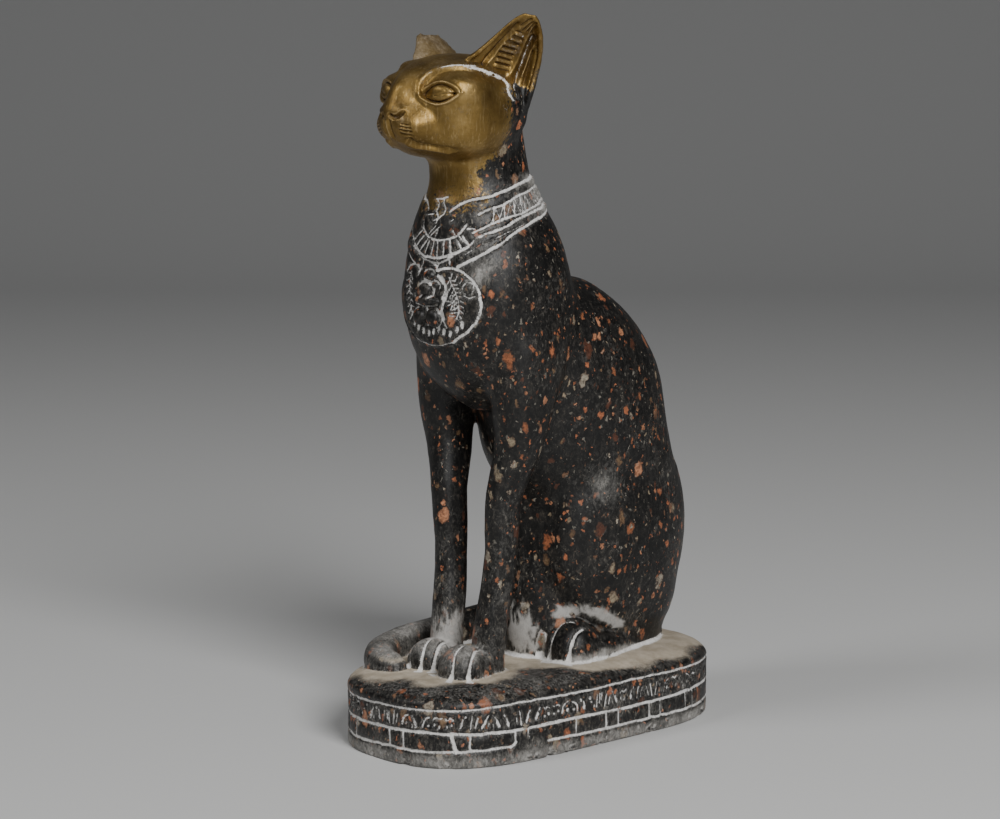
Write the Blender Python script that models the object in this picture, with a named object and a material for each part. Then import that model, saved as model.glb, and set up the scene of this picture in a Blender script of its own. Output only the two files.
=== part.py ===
# Seated cat statuette on a long plinth with rounded ends, carved from one block of stone.
# Units are metres, +Z is up. The origin is the middle of the underside, the cat looks along -Y
# and its left side is +X.

import math

import bmesh
import bpy
import numpy as np
from mathutils import Euler

# Plinth
PLINTH_LENGTH = 0.140
PLINTH_WIDTH = 0.0755
PLINTH_HEIGHT = 0.026
PLINTH_END_REACH = 0.0475      # length of each rounded end
PLINTH_END_POWER = 2.6         # 2 would be an ellipse, more is squarer
PLINTH_EASE_OUT = 0.015        # the worn top edge falls away over this width
PLINTH_EASE_DOWN = 0.0050      # and by this much
PLINTH_FOOT_BEVEL = 0.0006
LINE_HEIGHTS = (0.0058, 0.0117, 0.0200)   # lines cut round the side, above the underside
LINE_WIDTH = 0.0016
LINE_DEPTH = 0.0006

# Figure, from its feet to its ear tips. Its forms are laid out in parts of that height,
# PARTS_TALL of them, measured up from the top of the plinth.
FIGURE_HEIGHT = 0.224
PARTS_TALL = 224.0
PART = FIGURE_HEIGHT / PARTS_TALL

# Head: where its middle sits, and how far its forms melt into each other
HEAD_AT = np.array((0.0, -32.0, 193.0))
HEAD_BLEND = 5.0
EAR_AXIS = np.array((0.435, 0.237, 0.87))
EAR_BROKEN_AT = 0.70           # share of the right ear that is left, before its slanted break

# Fineness of the finished surface
REMESH_PARTS = 1.0
BODY_ROUNDS = 30               # rounds of smoothing on the body
FINE_ROUNDS = 8                # and on head, ears, paws and tail
FIGURE_TRIANGLES = 7400


def clear_scene():
    for item in list(bpy.data.objects):
        bpy.data.objects.remove(item, do_unlink=True)


def stone():
    material = bpy.data.materials.new("black_flecked_stone")
    material.use_nodes = True
    shader = material.node_tree.nodes["Principled BSDF"]
    shader.inputs["Base Color"].default_value = (0.03, 0.028, 0.026, 1.0)
    shader.inputs["Roughness"].default_value = 0.42
    shader.inputs["Metallic"].default_value = 0.0
    return material


# Smooth ramp from 0 to 1 between two values.
def ramp(low, high, value):
    t = np.clip((value - low) / (high - low), 0.0, 1.0)
    return t * t * (3 - 2 * t)


# Bump of height 1 round zero, fading out over the given width.
def bump(value, width):
    return np.exp(-(value / width) ** 2)


# Superellipse: cosine and sine of each angle, pushed outward by the power.
def rounded_ring(sides, power):
    angle = np.linspace(0.0, 2.0 * math.pi, sides, endpoint=False)
    c = np.cos(angle)
    s = np.sin(angle)
    return np.sign(c) * np.abs(c) ** (2.0 / power), np.sign(s) * np.abs(s) ** (2.0 / power)


# Catmull-Rom curve through rows of values, with some steps between two neighbours.
def smooth_rows(rows, steps):
    rows = np.asarray(rows, float)
    before = np.vstack([2 * rows[0] - rows[1], rows, 2 * rows[-1] - rows[-2]])
    out = []
    for i in range(len(rows) - 1):
        p0, p1, p2, p3 = before[i:i + 4]
        t = np.linspace(0.0, 1.0, steps, endpoint=False)[:, None]
        out.append(0.5 * (2 * p1 + (p2 - p0) * t + (2 * p0 - 5 * p1 + 4 * p2 - p3) * t ** 2
                          + (3 * p1 - p0 - 3 * p2 + p3) * t ** 3))
    out.append(rows[-1:])
    return np.vstack(out)


# Closed skin over a stack of rings, each end closed by a fan to its middle.
def skin(rings):
    rings = np.asarray(rings, float)
    count, sides = rings.shape[:2]
    points = np.vstack([rings.reshape(-1, 3), rings[0].mean(0), rings[-1].mean(0)])
    low = count * sides
    faces = []
    for i in range(count - 1):
        for j in range(sides):
            k = (j + 1) % sides
            faces.append((i * sides + j, i * sides + k, (i + 1) * sides + k, (i + 1) * sides + j))
    for j in range(sides):
        k = (j + 1) % sides
        faces.append((low, k, j))
        faces.append((low + 1, (count - 1) * sides + j, (count - 1) * sides + k))
    return points, faces


# Upright form: each row gives height, middle x, middle y, half width, half depth, power and
# taper, which narrows the front of the ring and widens its back.
def column(rows, sides=40, steps=5):
    rings = []
    for height, x, y, half_x, half_y, power, taper in smooth_rows(rows, steps):
        across, along = rounded_ring(sides, power)
        rings.append(np.stack([x + half_x * across * (1.0 + taper * along),
                               y + half_y * along,
                               np.full(sides, height)], axis=1))
    return skin(rings)


# Rows of a body slice given by its front and back instead of its middle.
def slices(rows):
    return [(h, 0.0, (front + back) / 2, half_x, (back - front) / 2, power, taper)
            for h, front, back, half_x, power, taper in rows]


# Ellipsoid as a skin of rings round its long axis, turned by degrees about X, Y and Z.
def ellipsoid(middle, half, turn=(0.0, 0.0, 0.0), rings=14, sides=24):
    polar = np.linspace(0.0, math.pi, rings + 2)[1:-1]
    across, along = rounded_ring(sides, 2.0)
    stack = [np.stack([half[0] * math.sin(p) * across, half[1] * math.sin(p) * along,
                       np.full(sides, -half[2] * math.cos(p))], axis=1) for p in polar]
    spin = np.array(Euler([math.radians(v) for v in turn]).to_matrix())
    return skin(np.array(stack) @ spin.T + np.asarray(middle, float))


# Tube along a smooth route; each row gives x, y, height, half width and half height.
def tube(rows, sides=20, steps=6):
    rows = smooth_rows(rows, steps)
    path = rows[:, :3]
    ahead = np.gradient(path, axis=0)
    ahead[:, 2] = 0.0
    ahead /= np.linalg.norm(ahead, axis=1)[:, None]
    beside = np.stack([-ahead[:, 1], ahead[:, 0], np.zeros(len(rows))], axis=1)
    across, along = rounded_ring(sides, 2.2)
    rings = [path[i] + beside[i] * rows[i, 3] * across[:, None]
             + np.array((0, 0, 1.0)) * rows[i, 4] * along[:, None] for i in range(len(rows))]
    return skin(rings)


# Mirror image of a form in the plane between left and right.
def mirrored(form):
    points, faces = form
    return points * np.array((-1.0, 1.0, 1.0)), [tuple(reversed(face)) for face in faces]


# Distance to ellipsoids melted together: each row gives middle and half sizes.
def melted(points, rows, blend):
    total = None
    for x, y, z, a, b, c in rows:
        near = (points - (x, y, z)) / (a, b, c)
        k0 = np.linalg.norm(near, axis=-1) + 1e-9
        k1 = np.linalg.norm(near / (a, b, c), axis=-1) + 1e-9
        one = k0 * (k0 - 1.0) / k1
        if total is None:
            total = one
        else:
            mix = np.clip(0.5 + 0.5 * (total - one) / blend, 0.0, 1.0)
            total = total * (1 - mix) + one * mix - blend * mix * (1 - mix)
    return total


# Both sides of a row that is given for the left.
def pair(x, *rest):
    return [(x, *rest), (-x, *rest)]


# Head: rays from its middle, each followed out to where the melted forms end.
def head(rings=60, sides=64):
    rows = [(0, 0, 1.5, 21.5, 24.5, 15.5)]              # brain case
    rows += [(0, -6, 7.8, 17.5, 17, 8.6)]               # crown
    rows += pair(10.5, -5, -6, 11, 15, 10.5)            # cheeks
    rows += [(0, -8, -9, 12, 15, 8)]                    # jaw
    rows += [(0, 7, -10, 14, 14, 14)]                   # back of the head down to the nape
    rows += pair(13, -11.5, 4.9, 8.6, 9.4, 8.2)         # eye swellings
    rows += [(0, -18, -5, 10.5, 12.5, 8)]               # muzzle
    rows += [(0, -17, 3.5, 6.5, 13, 8.5)]               # bridge of the nose
    rows += [(0, -27.4, -1.2, 4.2, 4.4, 3.0)]           # nose
    rows += [(0, -18.2, -11, 6, 7.5, 4.2)]              # chin
    rows += pair(5.0, -24.6, -6, 5.4, 5.4, 4.8)         # whisker pads
    polar = np.linspace(0.0, math.pi, rings + 2)[1:-1]
    turn = np.linspace(0.0, 2.0 * math.pi, sides, endpoint=False)
    p, t = np.meshgrid(polar, turn, indexing="ij")
    rays = np.stack([np.sin(p) * np.cos(t), np.cos(p), np.sin(p) * np.sin(t)], axis=-1)
    near = np.zeros(p.shape)
    far = np.full(p.shape, 60.0)
    for _ in range(26):
        middle = (near + far) / 2
        outside = melted(rays * middle[..., None], rows, HEAD_BLEND) > 0
        far = np.where(outside, middle, far)
        near = np.where(outside, near, middle)
    return skin(rays * near[..., None] + HEAD_AT)


# Ear: rings between its front edge and its back edge, from the root to the tip. Each row
# gives both edges, how far the back bulges and how far the face is filled, or hollow below zero.
def ear(keep=1.0, sides=28, steps=7):
    rows = smooth_rows([
        (6.0, -37, 190, 10.5, -21, 172, 5.0, 3.0),
        (9.0, -41, 200, 15.8, -19.2, 183, 8.0, 3.0), (13.0, -41.2, 208.3, 19.6, -19.2, 193, 7.6, -0.4),
        (15.6, -38.6, 211.2, 21.0, -16.8, 202, 6.6, -2.2), (18.9, -35.2, 215.1, 22.8, -16.0, 209.5, 4.8, -2.4),
        (22.1, -31.9, 219.6, 26.2, -18.6, 216.6, 2.8, -1.3), (25.2, -28.5, 223.2, 28.3, -21.9, 221.3, 1.7, 0.1),
        (27.2, -26.0, 224.0, 28.4, -24.0, 223.6, 0.5, 0.4)], steps)
    rows = rows[:max(2, round(len(rows) * keep))]
    rings = []
    for row in rows:
        front, back = row[:3], row[3:6]
        chord = (back - front) / 2
        backward = np.cross(EAR_AXIS, chord)
        backward /= np.linalg.norm(backward)
        across, along = rounded_ring(sides, 2.0)
        depth = np.where(along > 0, row[6], row[7]) * along
        depth -= np.where((along < 0) & (row[7] < 0), 1.1 * bump(across - 0.1, 0.16), 0.0)
        rings.append((front + back) / 2 + across[:, None] * chord + depth[:, None] * backward)
    return skin(rings)


# Foreleg from inside the shoulder to the fetlock
FORELEG = [
    (-3, 10.6, -30.4, 6.4, 6.2, 2.2, 0), (8, 10.9, -29.8, 5.6, 5.7, 2.2, 0),
    (19, 11.4, -28.4, 5.3, 5.8, 2.2, 0), (30, 12.4, -26.6, 5.1, 5.8, 2.2, 0),
    (41, 13.2, -25.7, 4.9, 5.8, 2.2, 0), (50, 13.6, -25.7, 5.2, 6.3, 2.2, 0),
    (60, 14.4, -25.4, 5.5, 6.7, 2.2, 0), (70, 16.3, -23.4, 6.3, 7.8, 2.2, 0),
    (80, 18.6, -22, 7.4, 9.0, 2.2, 0), (92, 19.2, -20.8, 8.8, 12.0, 2.2, 0),
    (105, 18.6, -19, 10.9, 14.8, 2.2, 0), (118, 17.4, -17, 11.4, 16.5, 2.2, 0),
    (128, 15.5, -13, 10.5, 16, 2.2, 0), (134, 12, -9, 7, 12, 2.2, 0)]

# Breast and neck, as front, back, half width, power and taper at each height
BREAST = [
    (89, -26, -8, 5, 2.0, 0), (94, -33.5, 0, 12, 2.1, 0), (100, -39.5, 6, 19, 2.2, 0),
    (108, -43.5, 10, 25, 2.3, 0), (118, -45.8, 9, 27.6, 2.4, 0), (128, -46.5, 7.6, 27.8, 2.5, 0),
    (137, -46.4, 6.0, 27.2, 2.4, 0), (144, -46.2, 5.2, 25.8, 2.3, 0), (151, -45.4, 3.4, 23, 2.2, 0),
    (158, -44, 0.4, 19.8, 2.1, 0), (165, -42.0, -3.2, 17, 2.0, 0), (171, -41.5, -5.6, 15.6, 2.0, 0),
    (180, -42.4, -7.2, 14.5, 2.0, 0), (190, -42, -9, 13.5, 2.0, 0)]

# Barrel and rump
BARREL = [
    (-3, -7.5, 55.5, 18, 2.2, 0.12), (6, -8.5, 58.0, 20, 2.2, 0.16), (12, -9, 60.0, 21.4, 2.2, 0.24),
    (20, -9, 61.6, 22.0, 2.2, 0.30), (32, -7.5, 62.4, 22.4, 2.1, 0.34), (45, -6, 62.0, 23.0, 2.1, 0.34),
    (55, -7.5, 60.6, 24.0, 2.2, 0.30), (63, -11.5, 58.6, 25.4, 2.3, 0.22), (72, -15.5, 56.2, 26.6, 2.3, 0.15),
    (85, -18.5, 54.0, 27.4, 2.2, 0.10), (100, -22.5, 51.6, 26.8, 2.2, 0.05), (112, -25, 45.2, 25, 2.2, 0),
    (120, -25, 38.0, 23, 2.2, 0), (127, -23, 28.8, 19.3, 2.2, 0), (132, -18, 20, 14, 2.2, 0),
    (134.5, -8, 8, 6, 2.2, 0)]

# Tail round the right side, its tip curled in front of the forepaw
TAIL = [
    (2, 54, 4, 6, 6.5), (-13, 54, 4, 6, 6.8), (-24, 45, 4.6, 5.8, 6.8), (-28.7, 30, 5.2, 5.8, 6.9),
    (-29.7, 10, 5.4, 5.7, 6.8), (-29.7, -8, 5.0, 5.5, 6.4), (-29.7, -28, 4.2, 5.3, 5.8),
    (-29.0, -38, 3.2, 5.4, 5.8), (-26.3, -46.5, 2.0, 5.6, 5.8), (-20.5, -51.7, 0.9, 5.6, 5.8),
    (-13.5, -52.8, 0.5, 5.2, 5.2), (-9.0, -52.4, 0.2, 3.6, 3.8), (-7.4, -52.2, 0, 1.2, 1.6)]


# Paw: four long toes side by side over a low body, the outer ones set back.
def paw(x, front, half_width, length, height, turn):
    forms = [ellipsoid((x, front + length * 0.60, height * 0.15),
                       (half_width * 0.92, length * 0.45, height * 0.72), (0, 0, turn))]
    lean = math.tan(math.radians(turn))
    for i in range(4):
        share = (i - 1.5) / 1.5
        back = 0.16 * length * share ** 2
        middle = front + back + length * 0.42
        forms.append(ellipsoid((x + share * half_width * 0.72 - lean * (length * 0.1), middle, height * 0.18),
                               (half_width * 0.32, length * 0.42, height * (0.80 - 0.10 * abs(share))),
                               (-8, 0, turn + 7 * share)))
    return forms


def figure_forms():
    forms = [column(slices(BREAST), 56), column(slices(BARREL), 64), tube(TAIL), head()]
    leg = column(FORELEG, 32)
    haunch = ellipsoid((11.2, 29.3, 43), (16.4, 32.2, 43), (0, 0, 0), 26, 40)
    foot = tube([(17, 6, 2, 7.5, 6), (17.5, 14, 2, 7.0, 6.5), (14.5, 27, 2, 6.5, 6),
                 (11, 41, 2, 6.0, 6), (7, 52, 2, 5, 5)])
    for form in [leg, haunch, foot, *paw(15.6, -5, 9.6, 22, 14, 0)]:
        forms += [form, mirrored(form)]
    forms += paw(10.3, -49.6, 8.3, 20, 9.5, 4) + [mirrored(form) for form in paw(7.4, -48.4, 8.0, 20, 8.8, 2)]
    forms += [ear(), mirrored(ear(EAR_BROKEN_AT))]
    return forms


def join_forms(name, forms):
    points = []
    faces = []
    start = 0
    for form_points, form_faces in forms:
        points.append(form_points)
        faces += [tuple(start + v for v in face) for face in form_faces]
        start += len(form_points)
    mesh = bpy.data.meshes.new(name)
    mesh.from_pydata((np.vstack(points) * PART + (0, 0, PLINTH_HEIGHT)).tolist(), [], faces)
    item = bpy.data.objects.new(name, mesh)
    bpy.context.collection.objects.link(item)
    return item


def evaluated_mesh(item):
    bpy.context.view_layer.update()
    graph = bpy.context.evaluated_depsgraph_get()
    return bpy.data.meshes.new_from_object(item.evaluated_get(graph))


# Plan of the plinth drawn in by some inset: straight sides and superelliptic ends.
def plinth_ring(inset, height, sides=64):
    straight = PLINTH_LENGTH / 2 - PLINTH_END_REACH
    across, along = rounded_ring(sides, PLINTH_END_POWER)
    x = (PLINTH_WIDTH / 2 - inset) * across
    y = (PLINTH_END_REACH - inset) * along + np.sign(along) * straight
    return np.stack([x, y, np.full(sides, height)], axis=1)


# Plinth: rings from the underside up the side with its three cut lines, then over the worn edge.
def plinth_form():
    profile = [(PLINTH_FOOT_BEVEL, 0.0), (0.0, PLINTH_FOOT_BEVEL)]
    for height in LINE_HEIGHTS:
        profile += [(0.0, height - LINE_WIDTH / 2), (LINE_DEPTH, height), (0.0, height + LINE_WIDTH / 2)]
    for i in range(1, 6):
        turn = math.radians(90.0 * i / 5)
        profile.append((PLINTH_EASE_OUT * (1 - math.cos(turn)),
                        PLINTH_HEIGHT - PLINTH_EASE_DOWN * (1 - math.sin(turn))))
    return skin([plinth_ring(inset, height) for inset, height in profile])


def add_object(name, points, faces):
    mesh = bpy.data.meshes.new(name)
    mesh.from_pydata(points.tolist(), [], faces)
    item = bpy.data.objects.new(name, mesh)
    bpy.context.collection.objects.link(item)
    return item


# Evens out the joins: every point moves towards the middle of its neighbours, more where
# `share` is larger. `keep_size` moves it back again so that thin forms don't shrink.
def softened(points, edges, share, rounds, keep_size):
    count = len(points)
    ends = np.concatenate([edges[:, 0], edges[:, 1]])
    others = np.concatenate([edges[:, 1], edges[:, 0]])
    neighbours = np.bincount(ends, minlength=count)[:, None]
    for _ in range(rounds):
        for pull in (0.60, -0.62) if keep_size else (0.50,):
            sums = [np.bincount(ends, points[others, k], count) for k in range(3)]
            points = points + pull * (np.stack(sums, 1) / neighbours - points) * share[:, None]
    return points


# Collar: a raised band that climbs from the breast to the nape, with a cord along its lower edge.
def collar(x, y, h):
    low = 138 + 0.43 * (y + 45)
    high = 158.5 + 0.26 * (y + 43)
    band = ramp(low - 0.8, low + 0.8, h) * (1 - ramp(high - 0.8, high + 0.8, h))
    middle = low + 0.62 * (high - low)
    return (0.8 * band + 0.8 * bump(h - low, 1.3) + 0.4 * bump(h - high, 1.0)
            - 0.5 * bump(h - middle, 1.0)) * ramp(-46, -43, y + 0.06 * x * x)


# Bib: a fan of pendants hanging on the breast below the collar.
def bib(x, y, h):
    reach = np.hypot(x * 1.05, h - 157.5)
    fan = ramp(15.6, 14.4, reach) * ramp(2, -1, h - 157.5) * (y < -25)
    return fan * 1.0 + 0.5 * bump(reach - 14.2, 0.9) * fan - 0.5 * bump(reach - 8.2, 0.8) * fan


# Breast ornament: an oval disc with a raised rim and a scarab in its middle.
def pectoral(x, y, h):
    across = 29 * np.arctan2(x, -(y + 17.5))
    up = h - 128.3
    front = y < -25
    reach = np.hypot(across / 21.0, up / 13.6)
    disc = ramp(1.04, 0.97, reach)
    rim = bump(reach - 0.93, 0.055)
    scarab = ramp(1.1, 0.5, np.hypot(across / 5.6, (up + 0.6) / 8.6))
    head = ramp(1.2, 0.4, np.hypot(across / 3.0, (up - 10.0) / 2.6))
    return front * (1.1 * disc + 0.8 * rim + 1.3 * scarab + 0.8 * head)


# Eye: a domed ball in an almond groove with a raised lid round it.
def eye(x, y, h):
    along = (np.abs(x) - 13.6) * 0.888 + (y + 52.8) * 0.46
    up = h - 198.1 - 0.07 * along
    share = (along / 6.2).clip(-1.2, 1.2)
    reach = np.hypot(share, up / (3.3 * (1.0 - 0.35 * share ** 2)))
    near = (y < -40) * (np.abs(along) < 10)
    return near * (0.8 * ramp(0.95, 0.3, reach) - 0.6 * bump(reach - 1.02, 0.13)
                   + 0.5 * bump(reach - 1.32, 0.15))


# Cut or ridge along a route of points on the surface, the same on both sides.
def along_route(points, route, width):
    route = smooth_rows(route, 6)
    side = np.abs(points * (1.0, 0.0, 0.0)) + points * (0.0, 1.0, 1.0)
    nearest = np.full(len(points), 1e9)
    for i in range(len(route) - 1):
        step = route[i + 1] - route[i]
        share = np.clip((side - route[i]) @ step / (step @ step), 0.0, 1.0)
        gap = np.linalg.norm(side - route[i] - share[:, None] * step, axis=1)
        nearest = np.minimum(nearest, gap)
    return bump(nearest, width)


# Break of the right ear: nothing of it stands above a short level edge and a slope behind that.
def broken_off(points):
    x, y, h = points.T
    across = 0.669 * x + 0.743 * y
    cap = np.minimum(216.4, 216.6 - 0.97 * (across + 32.2))
    over = (x < -9) & (h > 204)
    points[over, 2] = np.minimum(h[over], np.maximum(cap[over], 204.5))
    return points


def carve(points, normals):
    x, y, h = points.T
    lift = collar(x, y, h) * (h > 130) * (h < 175)
    lift = np.maximum(lift, bib(x, y, h))
    lift = np.maximum(lift, pectoral(x, y, h)) + eye(x, y, h)
    brow = [(7.2, -55.6, 200.3), (7.8, -53.0, 203.6), (10.0, -50.0, 205.6), (12.9, -46.9, 206.4),
            (15.8, -43.2, 206.3), (17.7, -38.6, 205.3), (18.8, -31.8, 203.0)]
    mouth = [(0.0, -60.0, 184.8), (2.6, -61.0, 184.2), (5.0, -60.6, 183.0), (6.4, -58.8, 181.8),
             (7.2, -56.1, 181.1), (8.5, -52.5, 180.6), (11.0, -48.9, 180.0), (12.6, -46.4, 179.2)]
    lip = [(0.0, -62.8, 189.6), (0.0, -60.8, 186.8), (0.0, -60.0, 184.8)]
    nostril = [(1.9, -63.5, 191.0), (3.0, -63.0, 190.3), (4.6, -61.8, 190.6), (5.6, -60.6, 191.6)]
    lift -= 0.9 * along_route(points, brow, 0.9) + 1.0 * along_route(points, mouth, 0.9)
    lift -= 0.9 * along_route(points, lip, 0.8) + 0.8 * along_route(points, nostril, 0.8)
    return broken_off(points + normals * lift[:, None])


# Vertex positions, in parts, of a mesh made in the scene.
def read_points(mesh):
    points = np.empty(len(mesh.vertices) * 3)
    mesh.vertices.foreach_get("co", points)
    return (points.reshape(-1, 3) - (0, 0, PLINTH_HEIGHT)) / PART


def write_points(mesh, points):
    mesh.vertices.foreach_set("co", (points * PART + (0, 0, PLINTH_HEIGHT)).ravel())
    mesh.update()


# The figure: all its forms melted into one skin, evened out, carved and thinned out.
def make_figure():
    figure = join_forms("figure", figure_forms())
    remesh = figure.modifiers.new("melt", "REMESH")
    remesh.mode = "VOXEL"
    remesh.voxel_size = REMESH_PARTS * PART
    mesh = evaluated_mesh(figure)
    figure.modifiers.remove(remesh)
    figure.data = mesh
    points = read_points(mesh)
    edges = np.empty(len(mesh.edges) * 2, dtype=int)
    mesh.edges.foreach_get("vertices", edges)
    edges = edges.reshape(-1, 2)
    x, y, h = points.T
    body = ramp(14, 24, h) * ramp(188, 180, h) * np.maximum(ramp(-16, -8, y), ramp(84, 96, h))
    points = softened(points, edges, body, BODY_ROUNDS, False)
    points = softened(points, edges, np.ones(len(points)), FINE_ROUNDS, True)
    write_points(mesh, points)
    normals = np.empty(len(points) * 3)
    mesh.vertices.foreach_get("normal", normals)
    write_points(mesh, carve(points, normals.reshape(-1, 3)))
    thin = figure.modifiers.new("thin out", "DECIMATE")
    thin.ratio = FIGURE_TRIANGLES / (2 * len(mesh.polygons))
    thin.use_collapse_triangulate = True
    mesh = evaluated_mesh(figure)
    figure.modifiers.remove(thin)
    figure.data = mesh
    points = read_points(mesh)
    write_points(mesh, points * (1, 1, PARTS_TALL / points[:, 2].max()))
    return figure


# Keeps the largest shell of a mesh, so that no sealed pocket is left where forms meet.
def keep_largest_shell(mesh):
    shells = bmesh.new()
    shells.from_mesh(mesh)
    left = set(shells.verts)
    groups = []
    while left:
        group = set()
        waiting = {left.pop()}
        while waiting:
            vertex = waiting.pop()
            group.add(vertex)
            near = {edge.other_vert(vertex) for edge in vertex.link_edges} & left
            left -= near
            waiting |= near
        groups.append(group)
    groups.sort(key=len)
    for group in groups[:-1]:
        bmesh.ops.delete(shells, geom=list(group), context="VERTS")
    shells.to_mesh(mesh)
    shells.free()


def main():
    clear_scene()
    figure = make_figure()
    points, faces = plinth_form()
    statue = add_object("cat_statue", points, faces)
    union = statue.modifiers.new("one stone", "BOOLEAN")
    union.operation = "UNION"
    union.solver = "EXACT"
    union.object = figure
    mesh = evaluated_mesh(statue)
    statue.modifiers.remove(union)
    statue.data = mesh
    bpy.data.objects.remove(figure, do_unlink=True)
    keep_largest_shell(mesh)
    mesh.materials.clear()
    mesh.materials.append(stone())
    mesh.shade_smooth()


main()
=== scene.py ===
import math
from functools import partial

import bmesh
import bpy
import numpy as np
from mathutils import Euler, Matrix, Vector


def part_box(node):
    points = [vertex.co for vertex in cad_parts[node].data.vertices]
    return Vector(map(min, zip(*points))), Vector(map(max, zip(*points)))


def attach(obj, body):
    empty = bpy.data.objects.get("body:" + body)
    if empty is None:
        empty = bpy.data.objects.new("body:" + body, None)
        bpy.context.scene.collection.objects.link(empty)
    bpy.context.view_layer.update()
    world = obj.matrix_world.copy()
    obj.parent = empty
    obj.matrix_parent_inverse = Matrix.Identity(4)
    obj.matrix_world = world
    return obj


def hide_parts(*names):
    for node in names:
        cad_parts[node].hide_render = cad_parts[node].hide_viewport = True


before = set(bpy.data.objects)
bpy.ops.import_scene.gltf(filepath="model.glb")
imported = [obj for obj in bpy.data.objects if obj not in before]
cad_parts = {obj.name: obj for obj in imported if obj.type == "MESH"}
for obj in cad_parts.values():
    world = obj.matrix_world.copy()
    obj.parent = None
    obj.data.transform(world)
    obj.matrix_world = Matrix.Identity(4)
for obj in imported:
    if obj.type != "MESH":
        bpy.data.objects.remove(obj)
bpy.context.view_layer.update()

# Lengths of the cat are in parts of its height, 224 of them, which come out at a millimetre each.
# Heights count from the top of the plinth; the cat looks along -Y and its left side is +X.
low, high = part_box("cat_statue")
plinth = dict(                            # metres
    length=high.y - low.y, width=high.x - low.x, height=0.026,
    endReach=0.0475, endPower=2.6,        # rounded ends: how long and how square
    easeOut=0.015, easeDown=0.0050,       # the worn top edge
    footBevel=0.0006,
)
part = (high.z - low.z - plinth["height"]) / 224.0
underside = -26.0      # its height, in parts

shaping = dict(
    voxel=0.52,                           # parts, of the skin that melts the forms together
    bodyRounds=110, earRounds=8, fineRounds=14, lastRounds=3, hollowRounds=10,      # smoothing
    triangles=188000,                     # kept in the end
)


# Smooth ramp from 0 to 1 between two values: 3t^2 - 2t^3.
def ramp(start, end, value):
    t = np.clip((value - start) / (end - start), 0.0, 1.0)
    return t * t * (3 - 2 * t)


# Bump of height 1 round zero: exp(-(value / width)^2).
def bump(value, width):
    return np.exp(-(value / width) ** 2)


# Superellipse |x|^p + |y|^p = 1, as cosine and sine raised to 2 / p.
def roundedRing(sides, power):
    angle = np.linspace(0.0, 2.0 * math.pi, sides, endpoint=False)
    c, s = np.cos(angle), np.sin(angle)
    return np.sign(c) * np.abs(c) ** (2.0 / power), np.sign(s) * np.abs(s) ** (2.0 / power)


# Catmull-Rom curve through rows of values, with some steps between two neighbours.
def smoothRows(rows, steps):
    rows = np.asarray(rows, float)
    ext = np.vstack([2 * rows[0] - rows[1], rows, 2 * rows[-1] - rows[-2]])
    t = np.linspace(0.0, 1.0, steps, endpoint=False)[:, None, None]
    p0, p1, p2, p3 = (ext[i:i + len(rows) - 1] for i in range(4))
    curve = 0.5 * (2 * p1 + (p2 - p0) * t + (2 * p0 - 5 * p1 + 4 * p2 - p3) * t ** 2
                   + (3 * p1 - p0 - 3 * p2 + p3) * t ** 3)
    return np.vstack([curve.swapaxes(0, 1).reshape(-1, rows.shape[1]), rows[-1:]])


# Smooth noise between -1 and 1: random values on a lattice, blended by 3t^2 - 2t^3.
def noise(points, size, seed=0):
    cell = points / size + 200.0
    base = np.floor(cell).astype(np.int64)
    t = cell - base
    t = t * t * (3 - 2 * t)
    total = np.zeros(len(points))
    for corner in range(8):
        bits = np.array([corner & 1, corner >> 1 & 1, corner >> 2 & 1])
        k = base + bits
        code = (k[:, 0] * 73856093) ^ (k[:, 1] * 19349663) ^ (k[:, 2] * 83492791) ^ (seed * 2654435761)
        code = (code ^ (code >> 13)) * 1274126177 & 0x7fffffff
        weight = np.prod(np.where(bits, t, 1 - t), axis=1)
        total += weight * (code % 65536) / 32768.0
    return total - 1.0


# Closed skin over a stack of rings: grid faces between neighbours, and a fan at each end.
def skin(rings):
    rings = np.asarray(rings, float)
    count, sides = rings.shape[:2]
    points = np.vstack([rings.reshape(-1, 3), rings[0].mean(0), rings[-1].mean(0)])
    i, j = np.meshgrid(np.arange(count - 1), np.arange(sides), indexing="ij")
    k = (j + 1) % sides
    quads = np.stack([i * sides + j, i * sides + k, (i + 1) * sides + k, (i + 1) * sides + j], -1)
    j, k = np.arange(sides), (np.arange(sides) + 1) % sides
    bottom = np.stack([np.full(sides, count * sides), k, j], -1)
    top = np.stack([np.full(sides, count * sides + 1), (count - 1) * sides + j,
                    (count - 1) * sides + k], -1)
    return points, quads.reshape(-1, 4).tolist() + bottom.tolist() + top.tolist()


# Upright form: each row gives height, middle x, middle y, half width, half depth, power and
# taper, which narrows the front of the ring and widens its back.
def column(rows, sides=72, steps=8):
    rings = []
    for h, x, y, halfX, halfY, power, taper in smoothRows(rows, steps):
        across, along = roundedRing(sides, power)
        rings.append(np.stack([x + halfX * across * (1.0 + taper * along), y + halfY * along,
                               np.full(sides, h)], axis=1))
    return skin(rings)


# Body slices given by front and back instead of the middle.
def slices(rows):
    return [(h, 0.0, (front + back) / 2, halfX, (back - front) / 2, power, taper)
            for h, front, back, halfX, power, taper in rows]


# Ellipsoid: rings sin(p) wide at height -cos(p), turned by degrees about X, Y and Z.
def ellipsoid(middle, half, turn=(0.0, 0.0, 0.0), rings=30, sides=48):
    polar = np.linspace(0.0, math.pi, rings + 2)[1:-1, None]
    across, along = roundedRing(sides, 2.0)
    stack = np.stack([half[0] * np.sin(polar) * across, half[1] * np.sin(polar) * along,
                      -half[2] * np.cos(polar) * np.ones(sides)], axis=-1)
    spin = np.array(Euler([math.radians(v) for v in turn]).to_matrix())
    return skin(stack @ spin.T + np.asarray(middle, float))


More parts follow.
